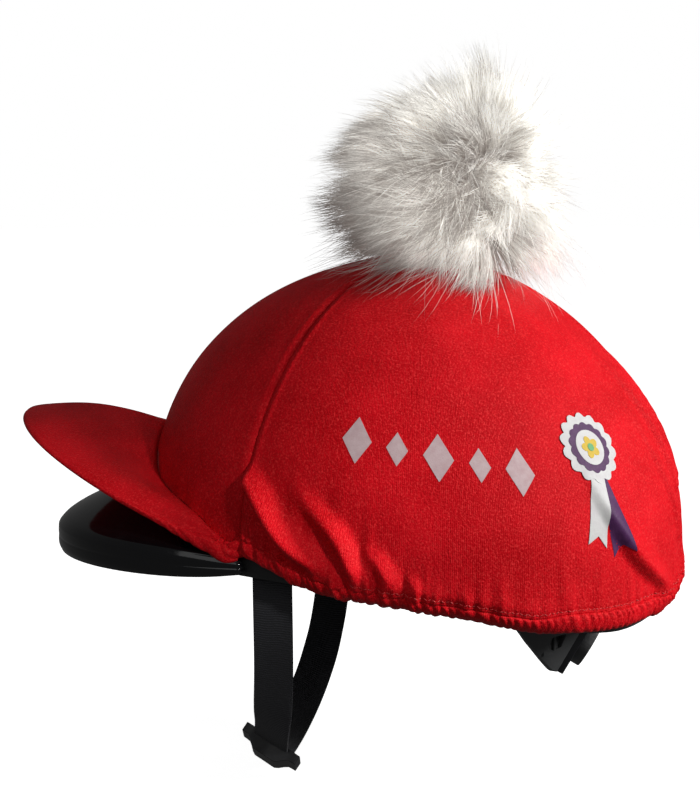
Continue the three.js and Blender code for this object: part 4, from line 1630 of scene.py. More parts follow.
@dataclass
class HardPeak:
    """The helmet's own glossy peak: a sloping plate, a deep rolled edge and a parting line in it."""

    half_width: float = 98.0
    tip: float = 189.0
    heel: float = 70.0
    turn: float = 57.0
    root_height: float = 42.0
    end_height: float = 11.0
    edge_low: float = 4.0
    edge_deep: float = 15.0
    end_deep: float = 7.0
    end_lift: float = 3.2
    plate: float = 3.0
    edge_thick: float = 5.0
    bow: float = 1.5
    columns: int = 181
    top_ways: tuple[float, ...] = (0, 0.3, 0.6, 0.88)
    under_ways: tuple[float, ...] = (0, 0.3, 0.6, 0.85)
    top_fall: tuple[tuple[float, float], ...] = ((0.16, 0.9), (0, 0.72), (0, 0.46), (0, 0.2), (0.24, 0))
    under_fall: tuple[tuple[float, float], ...] = ((1, 0.76), (1, 0.5), (1, 0.2), (0.75, 0))

    def section(self, share: float, under: bool) -> np.ndarray:
        """Trace the top or the underside of the peak at one place round it.

        Args:
            share: Place round the front, from -1 to 1.
            under: True for the underside.

        Returns:
            Points from the root to the foot of the edge.
        """
        turn = share * self.turn
        deep = self.edge_deep - (self.edge_deep - self.end_deep) * share**10
        low = self.edge_low + self.end_lift * share**12
        thick = self.plate * deep / self.edge_deep if under else 0.0
        rise = math.cos(share * math.pi / 2)
        root_height = self.end_height + (self.root_height - self.end_height) * rise - thick
        along = max(SHELL.round_length, float(SHELL.length_at_height(turn, root_height)))
        root = SHELL.point(turn, along, FIT_GAP)
        root[2] = root_height
        bend = share * math.pi / 2
        x = self.half_width * math.copysign(abs(math.sin(bend)) ** 0.85, share)
        y = -self.heel - (self.tip - self.heel) * abs(math.cos(bend)) ** 0.85
        edge = np.array([x, y, low + deep - thick])
        inward = np.array([root[0] - x, root[1] - y, 0.0])
        length = float(np.linalg.norm(inward))
        bow = self.bow * min(1.0, length / self.root_height)
        band = min(self.edge_thick, 0.7 * length)
        inward = inward / max(length, 1e-6)
        ways, fall = (self.under_ways, self.under_fall) if under else (self.top_ways, self.top_fall)
        plate = [root + (edge - root) * t + [0, 0, bow * math.sin(t * math.pi)] for t in ways]
        foot = [np.array([x, y, low + up * deep]) + inward * inset * band for inset, up in fall]
        line = smooth_path(np.array(plate + foot), 34 if under else 61)
        if not under:
            parting = np.exp(-(((line[:, 2] - low - 0.47 * deep) / 0.35) ** 2))
            near = np.hypot(line[:, 0] - x, line[:, 1] - y) < 0.5 * band
            line = line + inward * (0.35 * parting * near)[:, None]
        return line

    def build(self, finishes: Finishes) -> Piece:
        """Build the peak and dress it.

        Args:
            finishes: Every material of the cap.

        Returns:
            The finished piece.
        """
        shares = np.linspace(-1, 1, self.columns)
        rows = [np.concatenate([self.section(s, False), self.section(s, True)[::-1]]) for s in shares]
        piece = swept_piece("gloss_peak", np.array(rows))
        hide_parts("hard_peak")
        dress(piece, finishes.gloss, Body.HELMET)
        return piece


@dataclass
class Shell:
    """The hard dome with its padding, open below."""

    columns: int = 144
    climb_rows: int = 10
    dome_rows: int = 34
    crisp_round: float = 4.0
    crisp: EasedTable = EasedTable((0, 74, 86, 132, 146, 180), (1.0, 1.0, 0.0, 0.0, 1.0, 1.0))

    def outside(self, form: ShellForm, turn: np.ndarray) -> np.ndarray:
        """Lay out the outer face of a shell form from its lower edge to the top."""
        top = form.length_to_widest(turn) + form.dome * math.pi / 2 * 0.985
        roll = np.linspace(0, 1, self.climb_rows)[None, :] * form.round_length
        dome = np.linspace(0, 1, self.dome_rows)[None, 1:]
        rest = form.round_length + (top - form.round_length) * dome
        return form.point(turn, np.concatenate([roll + 0 * turn, rest], 1), 0)

    def build(self, finishes: Finishes) -> Piece:
        """Build the shell and dress it.

        Args:
            finishes: Every material of the cap.

        Returns:
            The finished piece.
        """
        turn = np.linspace(0, 360, self.columns, endpoint=False)[:, None]
        crisp = self.crisp.at(SHELL.side_turn(turn))[..., None]
        outer = self.outside(SHELL, turn) * (1 - crisp)
        outer = outer + self.outside(replace(SHELL, edge_round=self.crisp_round), turn) * crisp
        share = np.linspace(0, 0.985, self.dome_rows)[None, :]
        inner = SHELL.hollow_point(turn + 0 * share, share + 0 * turn)
        rows = np.concatenate([inner[:, ::-1], outer], axis=1)
        grid = rows.transpose(1, 0, 2)
        levels, columns = grid.shape[:2]
        faces = grid_quads(levels, columns, loop=True)
        numbers = np.arange(levels * columns).reshape(levels, columns)
        caps = np.stack([numbers[0][::-1], numbers[-1]])
        piece = new_piece("shell_body", grid.reshape(-1, 3), [faces, caps])
        face_outwards(piece)
        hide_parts("helmet_shell")
        dress(piece, finishes.inside, Body.HELMET)
        return piece


@dataclass
class ChinStrap:
    """One loop of webbing under the chin."""

    width: float = 20.0
    thick: float = 1.8
    back: float = -58.0
    half_span: float = 86.0
    drop: float = 110.0
    lean: float = 14.0
    twist: float = 33.0
    twist_from: float = 36.0
    twist_to: float = 52.0
    steps: int = 260

    @property
    def anchor_turn(self) -> float:
        """Turn of the strap's two anchors."""
        return math.degrees(math.atan2(self.half_span / SHELL.half_width, -self.back / SHELL.half_length))

    def point(self, angle: np.ndarray) -> np.ndarray:
        """Points of the loop's centreline at angles from 0 at the left temple to 180.

        Args:
            angle: Degrees round the loop from the left temple.

        Returns:
            One row of x, y and z for each angle.
        """
        swing = np.sin(np.radians(angle))
        cosine = np.cos(np.radians(angle))
        across = np.sign(cosine) * np.abs(cosine) ** 0.8
        hang = float(SHELL.rim_height(self.anchor_turn + self.width / 2)) - FIT_GAP
        back = self.back - self.lean * swing**3
        return np.stack([self.half_span * across, back, hang - self.drop * swing], -1)

    def frame(self, angle: np.ndarray) -> tuple[np.ndarray, np.ndarray, np.ndarray]:
        """Directions along the strap, across the webbing and outwards.

        Args:
            angle: Degrees round the loop from the left temple.

        Returns:
            The three directions, as rows for each angle.
        """
        run = unit(self.point(np.minimum(angle + 1, 180)) - self.point(np.maximum(angle - 1, 0)))
        eased = smoothstep(np.minimum(angle, 180 - angle), self.twist_from, self.twist_to)
        twist = np.radians(self.twist * eased)
        flat = np.stack([0 * twist, np.cos(twist), -np.sin(twist)], -1)
        width = unit(flat - run * (flat * run).sum(-1, keepdims=True))
        return run, width, unit(np.cross(run, width))

    def build(self, finishes: Finishes) -> Piece:
        """Build the webbing and dress it.

        Args:
            finishes: Every material of the cap.

        Returns:
            The finished piece.
        """
        angle = np.linspace(0, 180, self.steps)
        _, width, out = self.frame(angle)
        centre = self.point(angle)
        turn = np.linspace(0, 2 * math.pi, 24, endpoint=False)
        across = np.sign(np.cos(turn)) * np.abs(np.cos(turn)) ** 0.35 * self.width / 2
        through = np.sign(np.sin(turn)) * np.abs(np.sin(turn)) ** 0.5 * self.thick / 2
        sections = centre[:, None] + width[:, None] * across[None, :, None]
        sections = sections + out[:, None] * through[None, :, None]
        length = run_length(centre)
        uv = np.stack(np.broadcast_arrays((across * MM)[None], (length * MM)[:, None]), -1)
        piece = swept_piece("chin_webbing", sections, uv)
        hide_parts("chin_strap")
        dress(piece, finishes.webbing, Body.HELMET)
        return piece


@dataclass
class ChinBuckle:
    """The fastened buckle: two flat ears with a swollen middle, threaded on the webbing."""

    strap: ChinStrap
    width: float = 33.0
    length: float = 21.0
    ear: float = 5.0
    belly: float = 7.5
    at: float = 67.0

    def build(self, finishes: Finishes) -> Piece:
        """Build the buckle and dress it.

        Args:
            finishes: Every material of the cap.

        Returns:
            The finished piece.
        """
        run, width, out = (Vector(v[0]) for v in self.strap.frame(np.array([self.at])))
        place = Matrix((width, out, run)).transposed().to_4x4()
        place.translation = Vector(self.strap.point(np.array([self.at]))[0]) * MM
        piece = block("strap_buckle", (self.width, self.ear, self.length), Matrix.Identity(4))
        bpy.ops.object.mode_set(mode="EDIT")
        bpy.ops.mesh.select_all(action="SELECT")
        bpy.ops.mesh.subdivide(number_cuts=15)
        bpy.ops.object.mode_set(mode="OBJECT")
        half = self.width / 2 * MM
        for corner in piece.data.vertices:
            share = abs(corner.co.x) / half
            swell = float(1 - smoothstep(share, 0.35, 0.8))
            ends = 1 - 0.12 * (abs(corner.co.z) / (self.length / 2 * MM)) ** 2 * (1 - share)
            if corner.co.y > 0:
                corner.co.y += (self.belly - self.ear / 2) * MM * swell * 0.96
            corner.co.z *= ends * (1.0 - 0.1 * smoothstep(share, 0.75, 1.0))
        bevel(piece, 1.0, 3, 50)
        cut_away(piece, block("groove", (9.0, 1.0, 0.7), Matrix.Translation((0, self.belly * MM, 0.004))))
        piece.data.transform(place)
        shade_by_angle(piece, 35)
        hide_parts("chin_buckle")
        dress(piece, finishes.buckle, Body.HELMET)
        return piece


@dataclass
class NapeCradle:
    """The cradle behind the nape: a sloping strip with two windows, and the housing of the dial."""

    thick: float = 3.0
    top_height: float = -8.0
    reach: float = 76.0
    drop: float = 49.0
    inset: float = 27.0
    low: EasedTable = EasedTable(
        (0, 14, 22, 33, 44, 50, 55, 62, 76), (1, 0.99, 0.93, 0.76, 0.53, 0.36, 0.2, 0.13, 0.12)
    )
    inward: EasedTable = EasedTable(
        (0, 20, 33, 44, 50, 55, 62, 76), (1, 0.92, 0.76, 0.54, 0.4, 0.3, 0.18, 0.1)
    )
    window_wide: float = 10.5
    window_tall: float = 8.0
    window_turn: float = 30.5
    window_up: float = 0.3
    post_in: float = 1.9
    backing_in: float = 3.4
    housing_half: float = 19.0
    housing_tall: float = 34.0
    housing_thick: float = 9.0
    dial_centre: float = 19.0

    @property
    def slope(self) -> float:
        """Slope of the housing's back face in radians."""
        return math.atan2(self.inset, self.drop)

    def edge(self, turn: np.ndarray | float, upper: bool, inset: float) -> np.ndarray:
        """Points of the strip's lower or upper edge at turns from the back.

        Args:
            turn: Degrees from the back.
            upper: True for the upper edge.
            inset: How far inside the outer face.

        Returns:
            One row of x, y and z for each point.
        """
        turn = np.asarray(turn, float)
        inward = 0 * turn if upper else self.inset * self.inward.at(np.abs(turn))
        low = 0 * turn if upper else self.drop * self.low.at(np.abs(turn))
        wide = SHELL.half_width - SHELL.side_wall - 2 * FIT_GAP - inward * 0.5 - inset
        long = SHELL.half_length - SHELL.end_wall - 2 * FIT_GAP - inward - inset
        angle = np.radians(turn)
        return np.stack([wide * np.sin(angle), long * np.cos(angle), self.top_height - low], -1)

    @property
    def housing_frame(self) -> Matrix:
        """Frame of the housing's back face: across, up the slope and outwards, in metres."""
        axis = Vector((0, math.cos(self.slope), -math.sin(self.slope)))
        up = Vector((0, math.sin(self.slope), math.cos(self.slope)))
        made = Matrix((Vector((-1, 0, 0)), up, axis)).transposed().to_4x4()
        made.translation = (Vector(self.edge(0.0, False, 0.0)) + 1.5 * axis) * MM
        return made

    def strip(self) -> Piece:
        """Build the strip with its two windows.

        Returns:
            The strip.
        """
        turns = (np.linspace(-1, 1, 141) * self.reach)[:, None]
        ways = np.linspace(0, 1, 16)[None, :, None]
        faces = []
        for inset in (0.0, self.thick):
            low = self.edge(turns[:, 0], False, inset)[:, None]
            faces.append(low + (self.edge(turns[:, 0], True, inset)[:, None] - low) * ways)
        sections = np.concatenate([faces[0], faces[1][:, ::-1]], axis=1)
        piece = swept_piece("cradle_strip", sections)
        for side in (-1, 1):
            place = self.window_place(side, 0.0)
            window = block("window", (self.window_wide, 20, self.window_tall), place)
            bevel(window, 1.2, 3)
            cut_away(piece, window)
        bevel(piece, 0.5, 2, 40)
        return piece

    def window_place(self, side: int, inward: float) -> Matrix:
        """Find the middle of a window, moved inwards."""
        turn = self.window_turn * side
        low = self.edge(turn, False, 0.0)
        middle = low + (self.edge(turn, True, 0.0) - low) * self.window_up
        place = Matrix.Translation(Vector(middle) * MM) @ Matrix.Rotation(-math.radians(turn), 4, "Z")
        return place @ Matrix.Translation((0, -inward * MM, 0))

    def post(self, side: int) -> Piece:
        """Build the narrow post seen inside a window."""
        piece = block("post", (1.8, 1.6, self.window_tall + 1), self.window_place(side, self.post_in))
        bevel(piece, 0.4, 2)
        return piece

    def backing(self, side: int) -> Piece:
        """Build the band of the head ring that shows dark behind a window."""
        size = (self.window_wide + 5, 1.4, self.window_tall + 5)
        piece = block("backing", size, self.window_place(side, self.backing_in))
        bevel(piece, 0.5, 2)
        return piece

    def build_strip(self, finishes: Finishes) -> Piece:
        """Build the strip with its posts and dress it.

        Args:
            finishes: Every material of the cap.

        Returns:
            The finished piece.
        """
        piece = join([self.strip(), self.post(-1), self.post(1), self.backing(-1), self.backing(1)])
        piece.name = "cradle_plate"
        shade_by_angle(piece, 35)
        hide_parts("nape_cradle")
        dress(piece, finishes.grey, Body.HELMET)
        return piece

    def build_housing(self, finishes: Finishes) -> Piece:
        """Build the dial's housing, with a raised rim along its sides, and dress it.

        Args:
            finishes: Every material of the cap.

        Returns:
            The finished piece.
        """
        middle = Matrix.Translation((0, self.housing_tall / 2 * MM, -self.housing_thick / 2 * MM))
        size = (2 * self.housing_half, self.housing_tall, self.housing_thick)
        piece = block("dial_housing", size, middle)
        bpy.ops.object.mode_set(mode="EDIT")
        bpy.ops.mesh.select_all(action="DESELECT")
        bpy.ops.object.mode_set(mode="OBJECT")
        for face in piece.data.polygons:
            face.select = face.normal.z > 0.9
        bpy.ops.object.mode_set(mode="EDIT")
        bpy.ops.mesh.inset(thickness=2.2 * MM, depth=-0.8 * MM)
        bpy.ops.object.mode_set(mode="OBJECT")
        bevel(piece, 0.9, 3, 40)
        piece.data.transform(self.housing_frame)
        shade_by_angle(piece, 35)
        dress(piece, finishes.buckle, Body.HELMET)
        return piece


@dataclass
class AdjusterDial:
    """The ribbed wheel that draws the cradle in."""

    cradle: NapeCradle
    radius: float = 13.0
    edge: float = 3.2
    dome: float = 3.2
    ribs: int = 60
    rib_depth: float = 0.8
    pin: float = 3.5
    pin_long: float = 5.0

    def build(self, finishes: Finishes) -> Piece:
        """Build the dial and dress it.

        Args:
            finishes: Every material of the cap.

        Returns:
            The finished piece.
        """
        deselect()
        bpy.ops.mesh.primitive_cylinder_add(
            vertices=self.ribs * 4, radius=self.radius * MM, depth=self.edge * MM, end_fill_type="NGON"
        )
        piece = bpy.context.object
        piece.name = "dial_wheel"
        piece.data.name = "dial_wheel"
        piece.data.transform(Matrix.Translation((0, 0, (FIT_GAP + self.edge / 2) * MM)))
        for corner in piece.data.vertices:
            number = round(math.degrees(math.atan2(corner.co.y, corner.co.x)) / (90 / self.ribs))
            if number % 4 < 2:
                shrink = 1 - self.rib_depth / self.radius
                corner.co.x *= shrink
                corner.co.y *= shrink
        for face in piece.data.polygons:
            face.select = face.normal.z > 0.9
        bpy.ops.object.mode_set(mode="EDIT")
        bpy.ops.mesh.select_mode(type="FACE")
        steps = 5
        for step in range(steps):
            low = math.cos(math.asin(min(1.0, (step / steps) ** 0.8)))
            rise = self.dome / steps * (0.45 + low) * 0.62
            bpy.ops.mesh.inset(thickness=(self.radius - 2.2) / steps * MM, depth=rise * MM)
        bpy.ops.mesh.inset(thickness=0.6 * MM, depth=-0.5 * MM)
        bpy.ops.object.mode_set(mode="OBJECT")
        deselect()
        bpy.ops.mesh.primitive_cylinder_add(
            vertices=48, radius=self.pin * MM, depth=(self.pin_long + 1) * MM, location=(0, 0, 0)
        )
        pin = bpy.context.object
        pin.data.transform(Matrix.Translation((0, 0, (FIT_GAP + 0.5 - self.pin_long / 2) * MM)))
        bevel(pin, 0.3, 2)
        bevel(piece, 0.16, 2, 40)
        piece = join([piece, pin])
        centre = Matrix.Translation((0, self.cradle.dial_centre * MM, 0))
        piece.data.transform(self.cradle.housing_frame @ centre)
        shade_by_angle(piece, 35)
        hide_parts("adjuster_dial")
        dress(piece, finishes.knurl, Body.DIAL)
        return piece


@dataclass
class PanelPrints:
    """The prints on the left panel: a row of silver diamonds, and a show rosette with two tails."""

    row_from: tuple[float, float] = (84.0, 75.0)
    row_to: tuple[float, float] = (119.0, 60.5)
    diamonds: int = 5
    diamond_half: tuple[float, float] = (7.0, 11.5)
    rosette: tuple[float, float] = (138.4, 69.0)
    film: float = 0.14
    step: float = 1.1
    tail_half: float = 5.2
    small: float = 0.72

    def flatten(self, outline: np.ndarray, name: str) -> Piece:
        """Fill an outline with small faces.

        Args:
            outline: Corners of the outline in millimetres, in the plane of the cloth.
            name: Name of the piece.

        Returns:
            A flat piece cut into faces no longer than the step.
        """
        flat = np.concatenate([outline, np.zeros((len(outline), 1))], axis=1)
        piece = new_piece(name, flat, [np.arange(len(outline))[None]])
        activate(piece)
        low, high = outline.min(0), outline.max(0)
        bpy.ops.object.mode_set(mode="EDIT")
        for axis, normal in ((0, (1, 0, 0)), (1, (0, 1, 0))):
            for at in np.arange(low[axis] + self.step, high[axis], self.step):
                spot = [0.0, 0.0, 0.0]
                spot[axis] = at * MM
                bpy.ops.mesh.select_all(action="SELECT")
                bpy.ops.mesh.bisect(plane_co=spot, plane_no=normal)
        bpy.ops.object.mode_set(mode="OBJECT")
        return piece

    def lay(self, piece: Piece, centre: tuple[float, float], level: int) -> Piece:
        """Lay a flat piece on the cloth and give it its film's thickness.

        Args:
            piece: The flat piece.
            centre: Turn and height of its origin.
            level: Number of films under it.

        Returns:
            The piece, on the cloth.
        """
        count = len(piece.data.vertices)
        flat = np.empty(count * 3)
        piece.data.vertices.foreach_get("co", flat)
        flat = flat.reshape(-1, 3) / MM
        turn = centre[0] + flat[:, 0] / SHELL.arc
        along = SHELL.length_at_height(centre[0], centre[1]) + flat[:, 1]
        points = COVER.side_face(turn, along, 0.16 + 0.16 * level)
        piece.data.vertices.foreach_set("co", (points * MM).ravel())
        modifier = piece.modifiers.new("film", "SOLIDIFY")
        modifier.thickness = self.film * MM
        modifier.offset = -1
        apply_modifiers(piece)
        shade_by_angle(piece, 30)
        return piece

    def circle(self, radius: float, waves: int = 0, depth: float = 0.0) -> np.ndarray:
        """Outline of a round or scalloped disc."""
        angle = np.linspace(0, 2 * math.pi, 96, endpoint=False)
        reach = radius + depth * np.abs(np.sin(waves * angle / 2)) - depth if waves else radius + 0 * angle
        return np.stack([reach * np.cos(angle), reach * np.sin(angle)], -1)

    def tail(self, lean: float, length: float, cut: float) -> np.ndarray:
        """Outline of one ribbon tail with a notched end."""
        run = np.array([math.sin(math.radians(lean)), -math.cos(math.radians(lean))])
        side = np.array([-run[1], run[0]])
        side = side * self.tail_half
        end = run * length
        return np.array([side * 0.8, side + end, run * (length - cut), end - side, -side * 0.8])[::-1]

    def build(self, finishes: Finishes) -> list[Piece]:
        """Print every motif and dress it.

        Args:
            finishes: Every material of the cap.

        Returns:
            The finished pieces.
        """
        pieces = []

        def add(
            name: str,
            outline: np.ndarray,
            centre: tuple[float, float],
            level: int,
            material: Material,
        ) -> None:
            """Print one motif."""
            piece = self.lay(self.flatten(outline, name), centre, level)
            dress(piece, material, Body.HELMET)
            pieces.append(piece)

        wide, tall = self.diamond_half
        diamond = np.array([(wide, 0), (0, tall), (-wide, 0), (0, -tall)], float)
        for number in range(self.diamonds):
            share = number / (self.diamonds - 1)
            centre = tuple(a + (b - a) * share for a, b in zip(self.row_from, self.row_to))
            size = 1.0 if number % 2 == 0 else self.small
            add(f"diamond_{number}", diamond * size, centre, 0, finishes.silver)
        tails = (self.rosette[0], self.rosette[1] - 10)
        add("tail_back", self.tail(13, 42, 5), tails, 0, finishes.purple)
        add("tail_front", self.tail(-9, 37, 5), tails, 1, finishes.white)
        add("rosette_frill", self.circle(17.5, 14, 2.4), self.rosette, 2, finishes.white)
        add("rosette_ring", self.circle(12.6, 14, 1.2), self.rosette, 3, finishes.purple)
        add("rosette_disc", self.circle(8.6), self.rosette, 4, finishes.white)
        add("rosette_heart", self.circle(5.6, 5, 2.2), self.rosette, 5, finishes.yellow)
        add("rosette_dot", self.circle(1.9), self.rosette, 6, finishes.green)
        return pieces


@dataclass
class Pompom:
    """A ball of long fur on a round backing, combed to the front and spread over the crown."""

    back: float = 19.0
    over_shell: float = 43.0
    core: float = 31.0
    fur: float = 73.0
    locks: int = 150
    clumps: int = 900
    hairs: int = 39000
    guard_hairs: int = 2600
    wisps: float = 34.0
    seed: int = 11

    @property
    def centre(self) -> np.ndarray:
        """Middle of the ball."""
        return np.array([0.0, self.back, SHELL.top + self.over_shell])

    def crown(self, points: np.ndarray) -> np.ndarray:
        """Height of the cover's outer face under each point."""
        height = SHELL.crown_height(points[..., 0], points[..., 1])
        away = np.hypot(points[..., 0], points[..., 1]) / COVER.lift_reach
        return height + COVER.gap + COVER.thick + COVER.top_lift * np.maximum(0, 1 - away) ** 2

    def directions(self, count: int, rng: np.random.Generator) -> np.ndarray:
        """Spread directions evenly over a ball, with some scatter.

        Args:
            count: How many.
            rng: Source of the scatter.

        Returns:
            One direction in each row.
        """
        number = np.arange(count) + 0.5
        up = 1 - 2 * number / count
        flat = np.sqrt(1 - up * up)
        angle = number * math.pi * (3 - math.sqrt(5))
        even = np.stack([flat * np.cos(angle), flat * np.sin(angle), up], -1)
        return unit(even + rng.normal(0, 1.2 / math.sqrt(count), even.shape))

    def reach(self, aim: np.ndarray) -> np.ndarray:
        """Length of the fur from the middle in a direction."""
        front, back = np.maximum(0, -aim[..., 1]), np.maximum(0, aim[..., 1])
        return self.fur * (0.985 + 0.1 * front**2 - 0.34 * front * np.abs(aim[..., 2] + 0.12) - 0.04 * back)

    def comb(self, aim: np.ndarray) -> np.ndarray:
        """Lean of the fur: forwards everywhere but at the back, and outwards over the crown."""
        back, low = np.maximum(0, aim[..., 1:2]), np.maximum(0, -aim[..., 2:])
        forward = -0.42 * (1 - 0.7 * back)
        return np.concatenate([0.3 * low * np.sign(aim[..., :1]), forward, -0.05 + 0.15 * low], -1)

    def bend(self, count: int, scatter: float, seed: int) -> tuple[np.ndarray, np.ndarray, np.ndarray]:
        """Choose tufts: where each is rooted, where its tip leans and how long and tinted it is."""
        rng = np.random.default_rng(seed)
        aims = self.directions(count, rng)
        tips = unit(aims + self.comb(aims) + rng.normal(0, scatter, aims.shape))
        return aims, tips, rng.random((count, 2))

    def wisp(self, aim: np.ndarray) -> tuple[np.ndarray, np.ndarray]:
        """Gather directions in small wisps.

        Args:
            aim: One direction in each row.

        Returns:
            The middle direction of each one's wisp, and eight chances that its hairs share.
        """
        cell = np.floor(aim * self.wisps)
        code = cell @ np.array([12.9898, 78.233, 37.719])
        chance = np.abs(np.sin(code[:, None] + 1.7 * np.arange(8))) * 43758.5453
        return unit((cell + 0.5) / self.wisps), chance % 1

    def grow(
        self, count: int, points: int, guard: bool, seed: int
    ) -> tuple[np.ndarray, np.ndarray, np.ndarray]:
        """Grow hairs, drawn together in clumps and locks.

        Args:
            count: How many hairs.
            points: Points of each hair's path.
            guard: True for the few longer hairs that stand apart.
            seed: Seed of the scatter.

        Returns:
            The hairs' paths, their radii and a tint for each.
        """
        rng = np.random.default_rng(seed)
        lock_aims, lock_tips, lock_own = self.bend(self.locks, 0.2, self.seed)
        clump_aims, clump_tips, clump_own = self.bend(self.clumps, 0.16, self.seed + 1)
        root_aim = self.directions(count, rng)
        lock = (root_aim @ lock_aims.T + rng.normal(0, 0.004, (count, self.locks))).argmax(1)
        clump = (root_aim @ clump_aims.T + rng.normal(0, 0.001, (count, self.clumps))).argmax(1)
        gather, chance = self.wisp(root_aim)
        if guard:
            gather, chance = root_aim, rng.random((count, 8))
        own = gather + self.comb(gather)
        to_lock = 0.3 + 0.5 * chance[:, :1]
        to_clump = (1 - to_lock) * (0.5 * chance[:, 1:2] if guard else 0.4 + 0.5 * chance[:, 1:2])
        swirl = 0.3 * smoothstep(np.abs(root_aim[:, :1]), 0.7, 0.95)
        loose = (chance[:, 2:5] - 0.5) * 2.6 * ((0.09 if guard else 0.045) + swirl)
        loose = loose + rng.normal(0, 0.014, (count, 3))
        drawn = lock_tips[lock] * to_lock + clump_tips[clump] * to_clump
        tip_aim = unit(own * (1 - to_lock - to_clump) + drawn + loose)
        if guard:
            skirt = smoothstep(-tip_aim[:, 2], 0.25, 0.6)
            long = rng.uniform(0.84, 0.96, count) + 0.16 * lock_own[lock, 0]
            long = long + skirt * rng.uniform(0.0, 0.42, count)
        else:
            short = chance[:, 5] < 0.35
            skirt = smoothstep(-tip_aim[:, 2], 0.2, 0.6)
            long = 0.76 + 0.3 * lock_own[lock, 0] * clump_own[clump, 0] ** 0.3 + 0.1 * skirt
            long = long * np.where(short, 0.66 + 0.3 * chance[:, 6], 0.94 + 0.07 * chance[:, 6])
        reach = (self.reach(tip_aim) * long)[:, None]
        tip = self.centre + tip_aim * reach
        root = self.centre + root_aim * self.core * rng.uniform(0.9, 1.0, (count, 1))
        middle = self.centre + unit(root_aim * 0.62 + tip_aim * 0.38) * reach * 0.72
        middle = middle + rng.normal(0, 1.2, (count, 3))
        share = np.linspace(0, 1, points)[None, :, None]
        path = root[:, None] * (1 - share) ** 2 + 2 * middle[:, None] * share * (1 - share)
        path = path + tip[:, None] * share**2
        path[..., 2] -= rng.uniform(0, 2.5, (count, 1)) * share[..., 0] ** 3
        rest = 0.4 + rng.uniform(0, 3.2, (count, 1)) * share[..., 0]
        path[..., 2] = np.maximum(path[..., 2], self.crown(path) + rest)
        thick = rng.uniform(0.1, 0.17, (count, 1)) if guard else rng.uniform(0.15, 0.26, (count, 1))
        taper = 1 - 0.7 * np.linspace(0, 1, points)[None, 1:-1] ** 1.4
        tint = 0.12 * rng.random(count) + 0.42 * chance[:, 7]
        tint = np.clip(tint + 0.34 * lock_own[lock, 1] + 0.2 * clump_own[clump, 1], 0, 1)
        return path, thick * taper, tint

    def build(self, finishes: Finishes) -> list[Piece]:
        """Build the backing and the coats of hair and dress them.

        Args:
            finishes: Every material of the cap.

        Returns:
            The finished pieces.
        """
        deselect()
        bpy.ops.mesh.primitive_ico_sphere_add(subdivisions=6, radius=1)
        backing = bpy.context.object
        backing.name = "fur_backing"
        backing.data.name = "fur_backing"
        aim = np.empty(len(backing.data.vertices) * 3)
        backing.data.vertices.foreach_get("co", aim)
        aim = unit(aim.reshape(-1, 3))
        wobble = np.sin(aim[:, 0] * 21 + 1) * np.sin(aim[:, 1] * 19) * np.sin(aim[:, 2] * 23 + 2)
        points = self.centre + aim * (self.core + 2 + 2.5 * wobble)[:, None]
        points[:, 2] = np.maximum(points[:, 2], self.crown(points) + 0.4)
        backing.data.vertices.foreach_set("co", (points * MM).ravel())
        activate(backing)
        bpy.ops.object.shade_smooth()
        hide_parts("pompom")
        dress(backing, finishes.backing, Body.HELMET)
        pieces = [backing]
        share = self.hairs // 3
        for number in range(3):
            path, radii, tint = self.grow(share, 4, False, self.seed + 10 + number)
            pieces.append(tubes(f"fur_coat_{number}", path, radii, 3, tint))
        path, radii, tint = self.grow(self.guard_hairs, 7, True, self.seed + 20)
        pieces.append(tubes("guard_hairs", path, radii, 3, tint))
        for piece in pieces[1:]:
            dress(piece, finishes.fur, Body.HELMET)
        return pieces


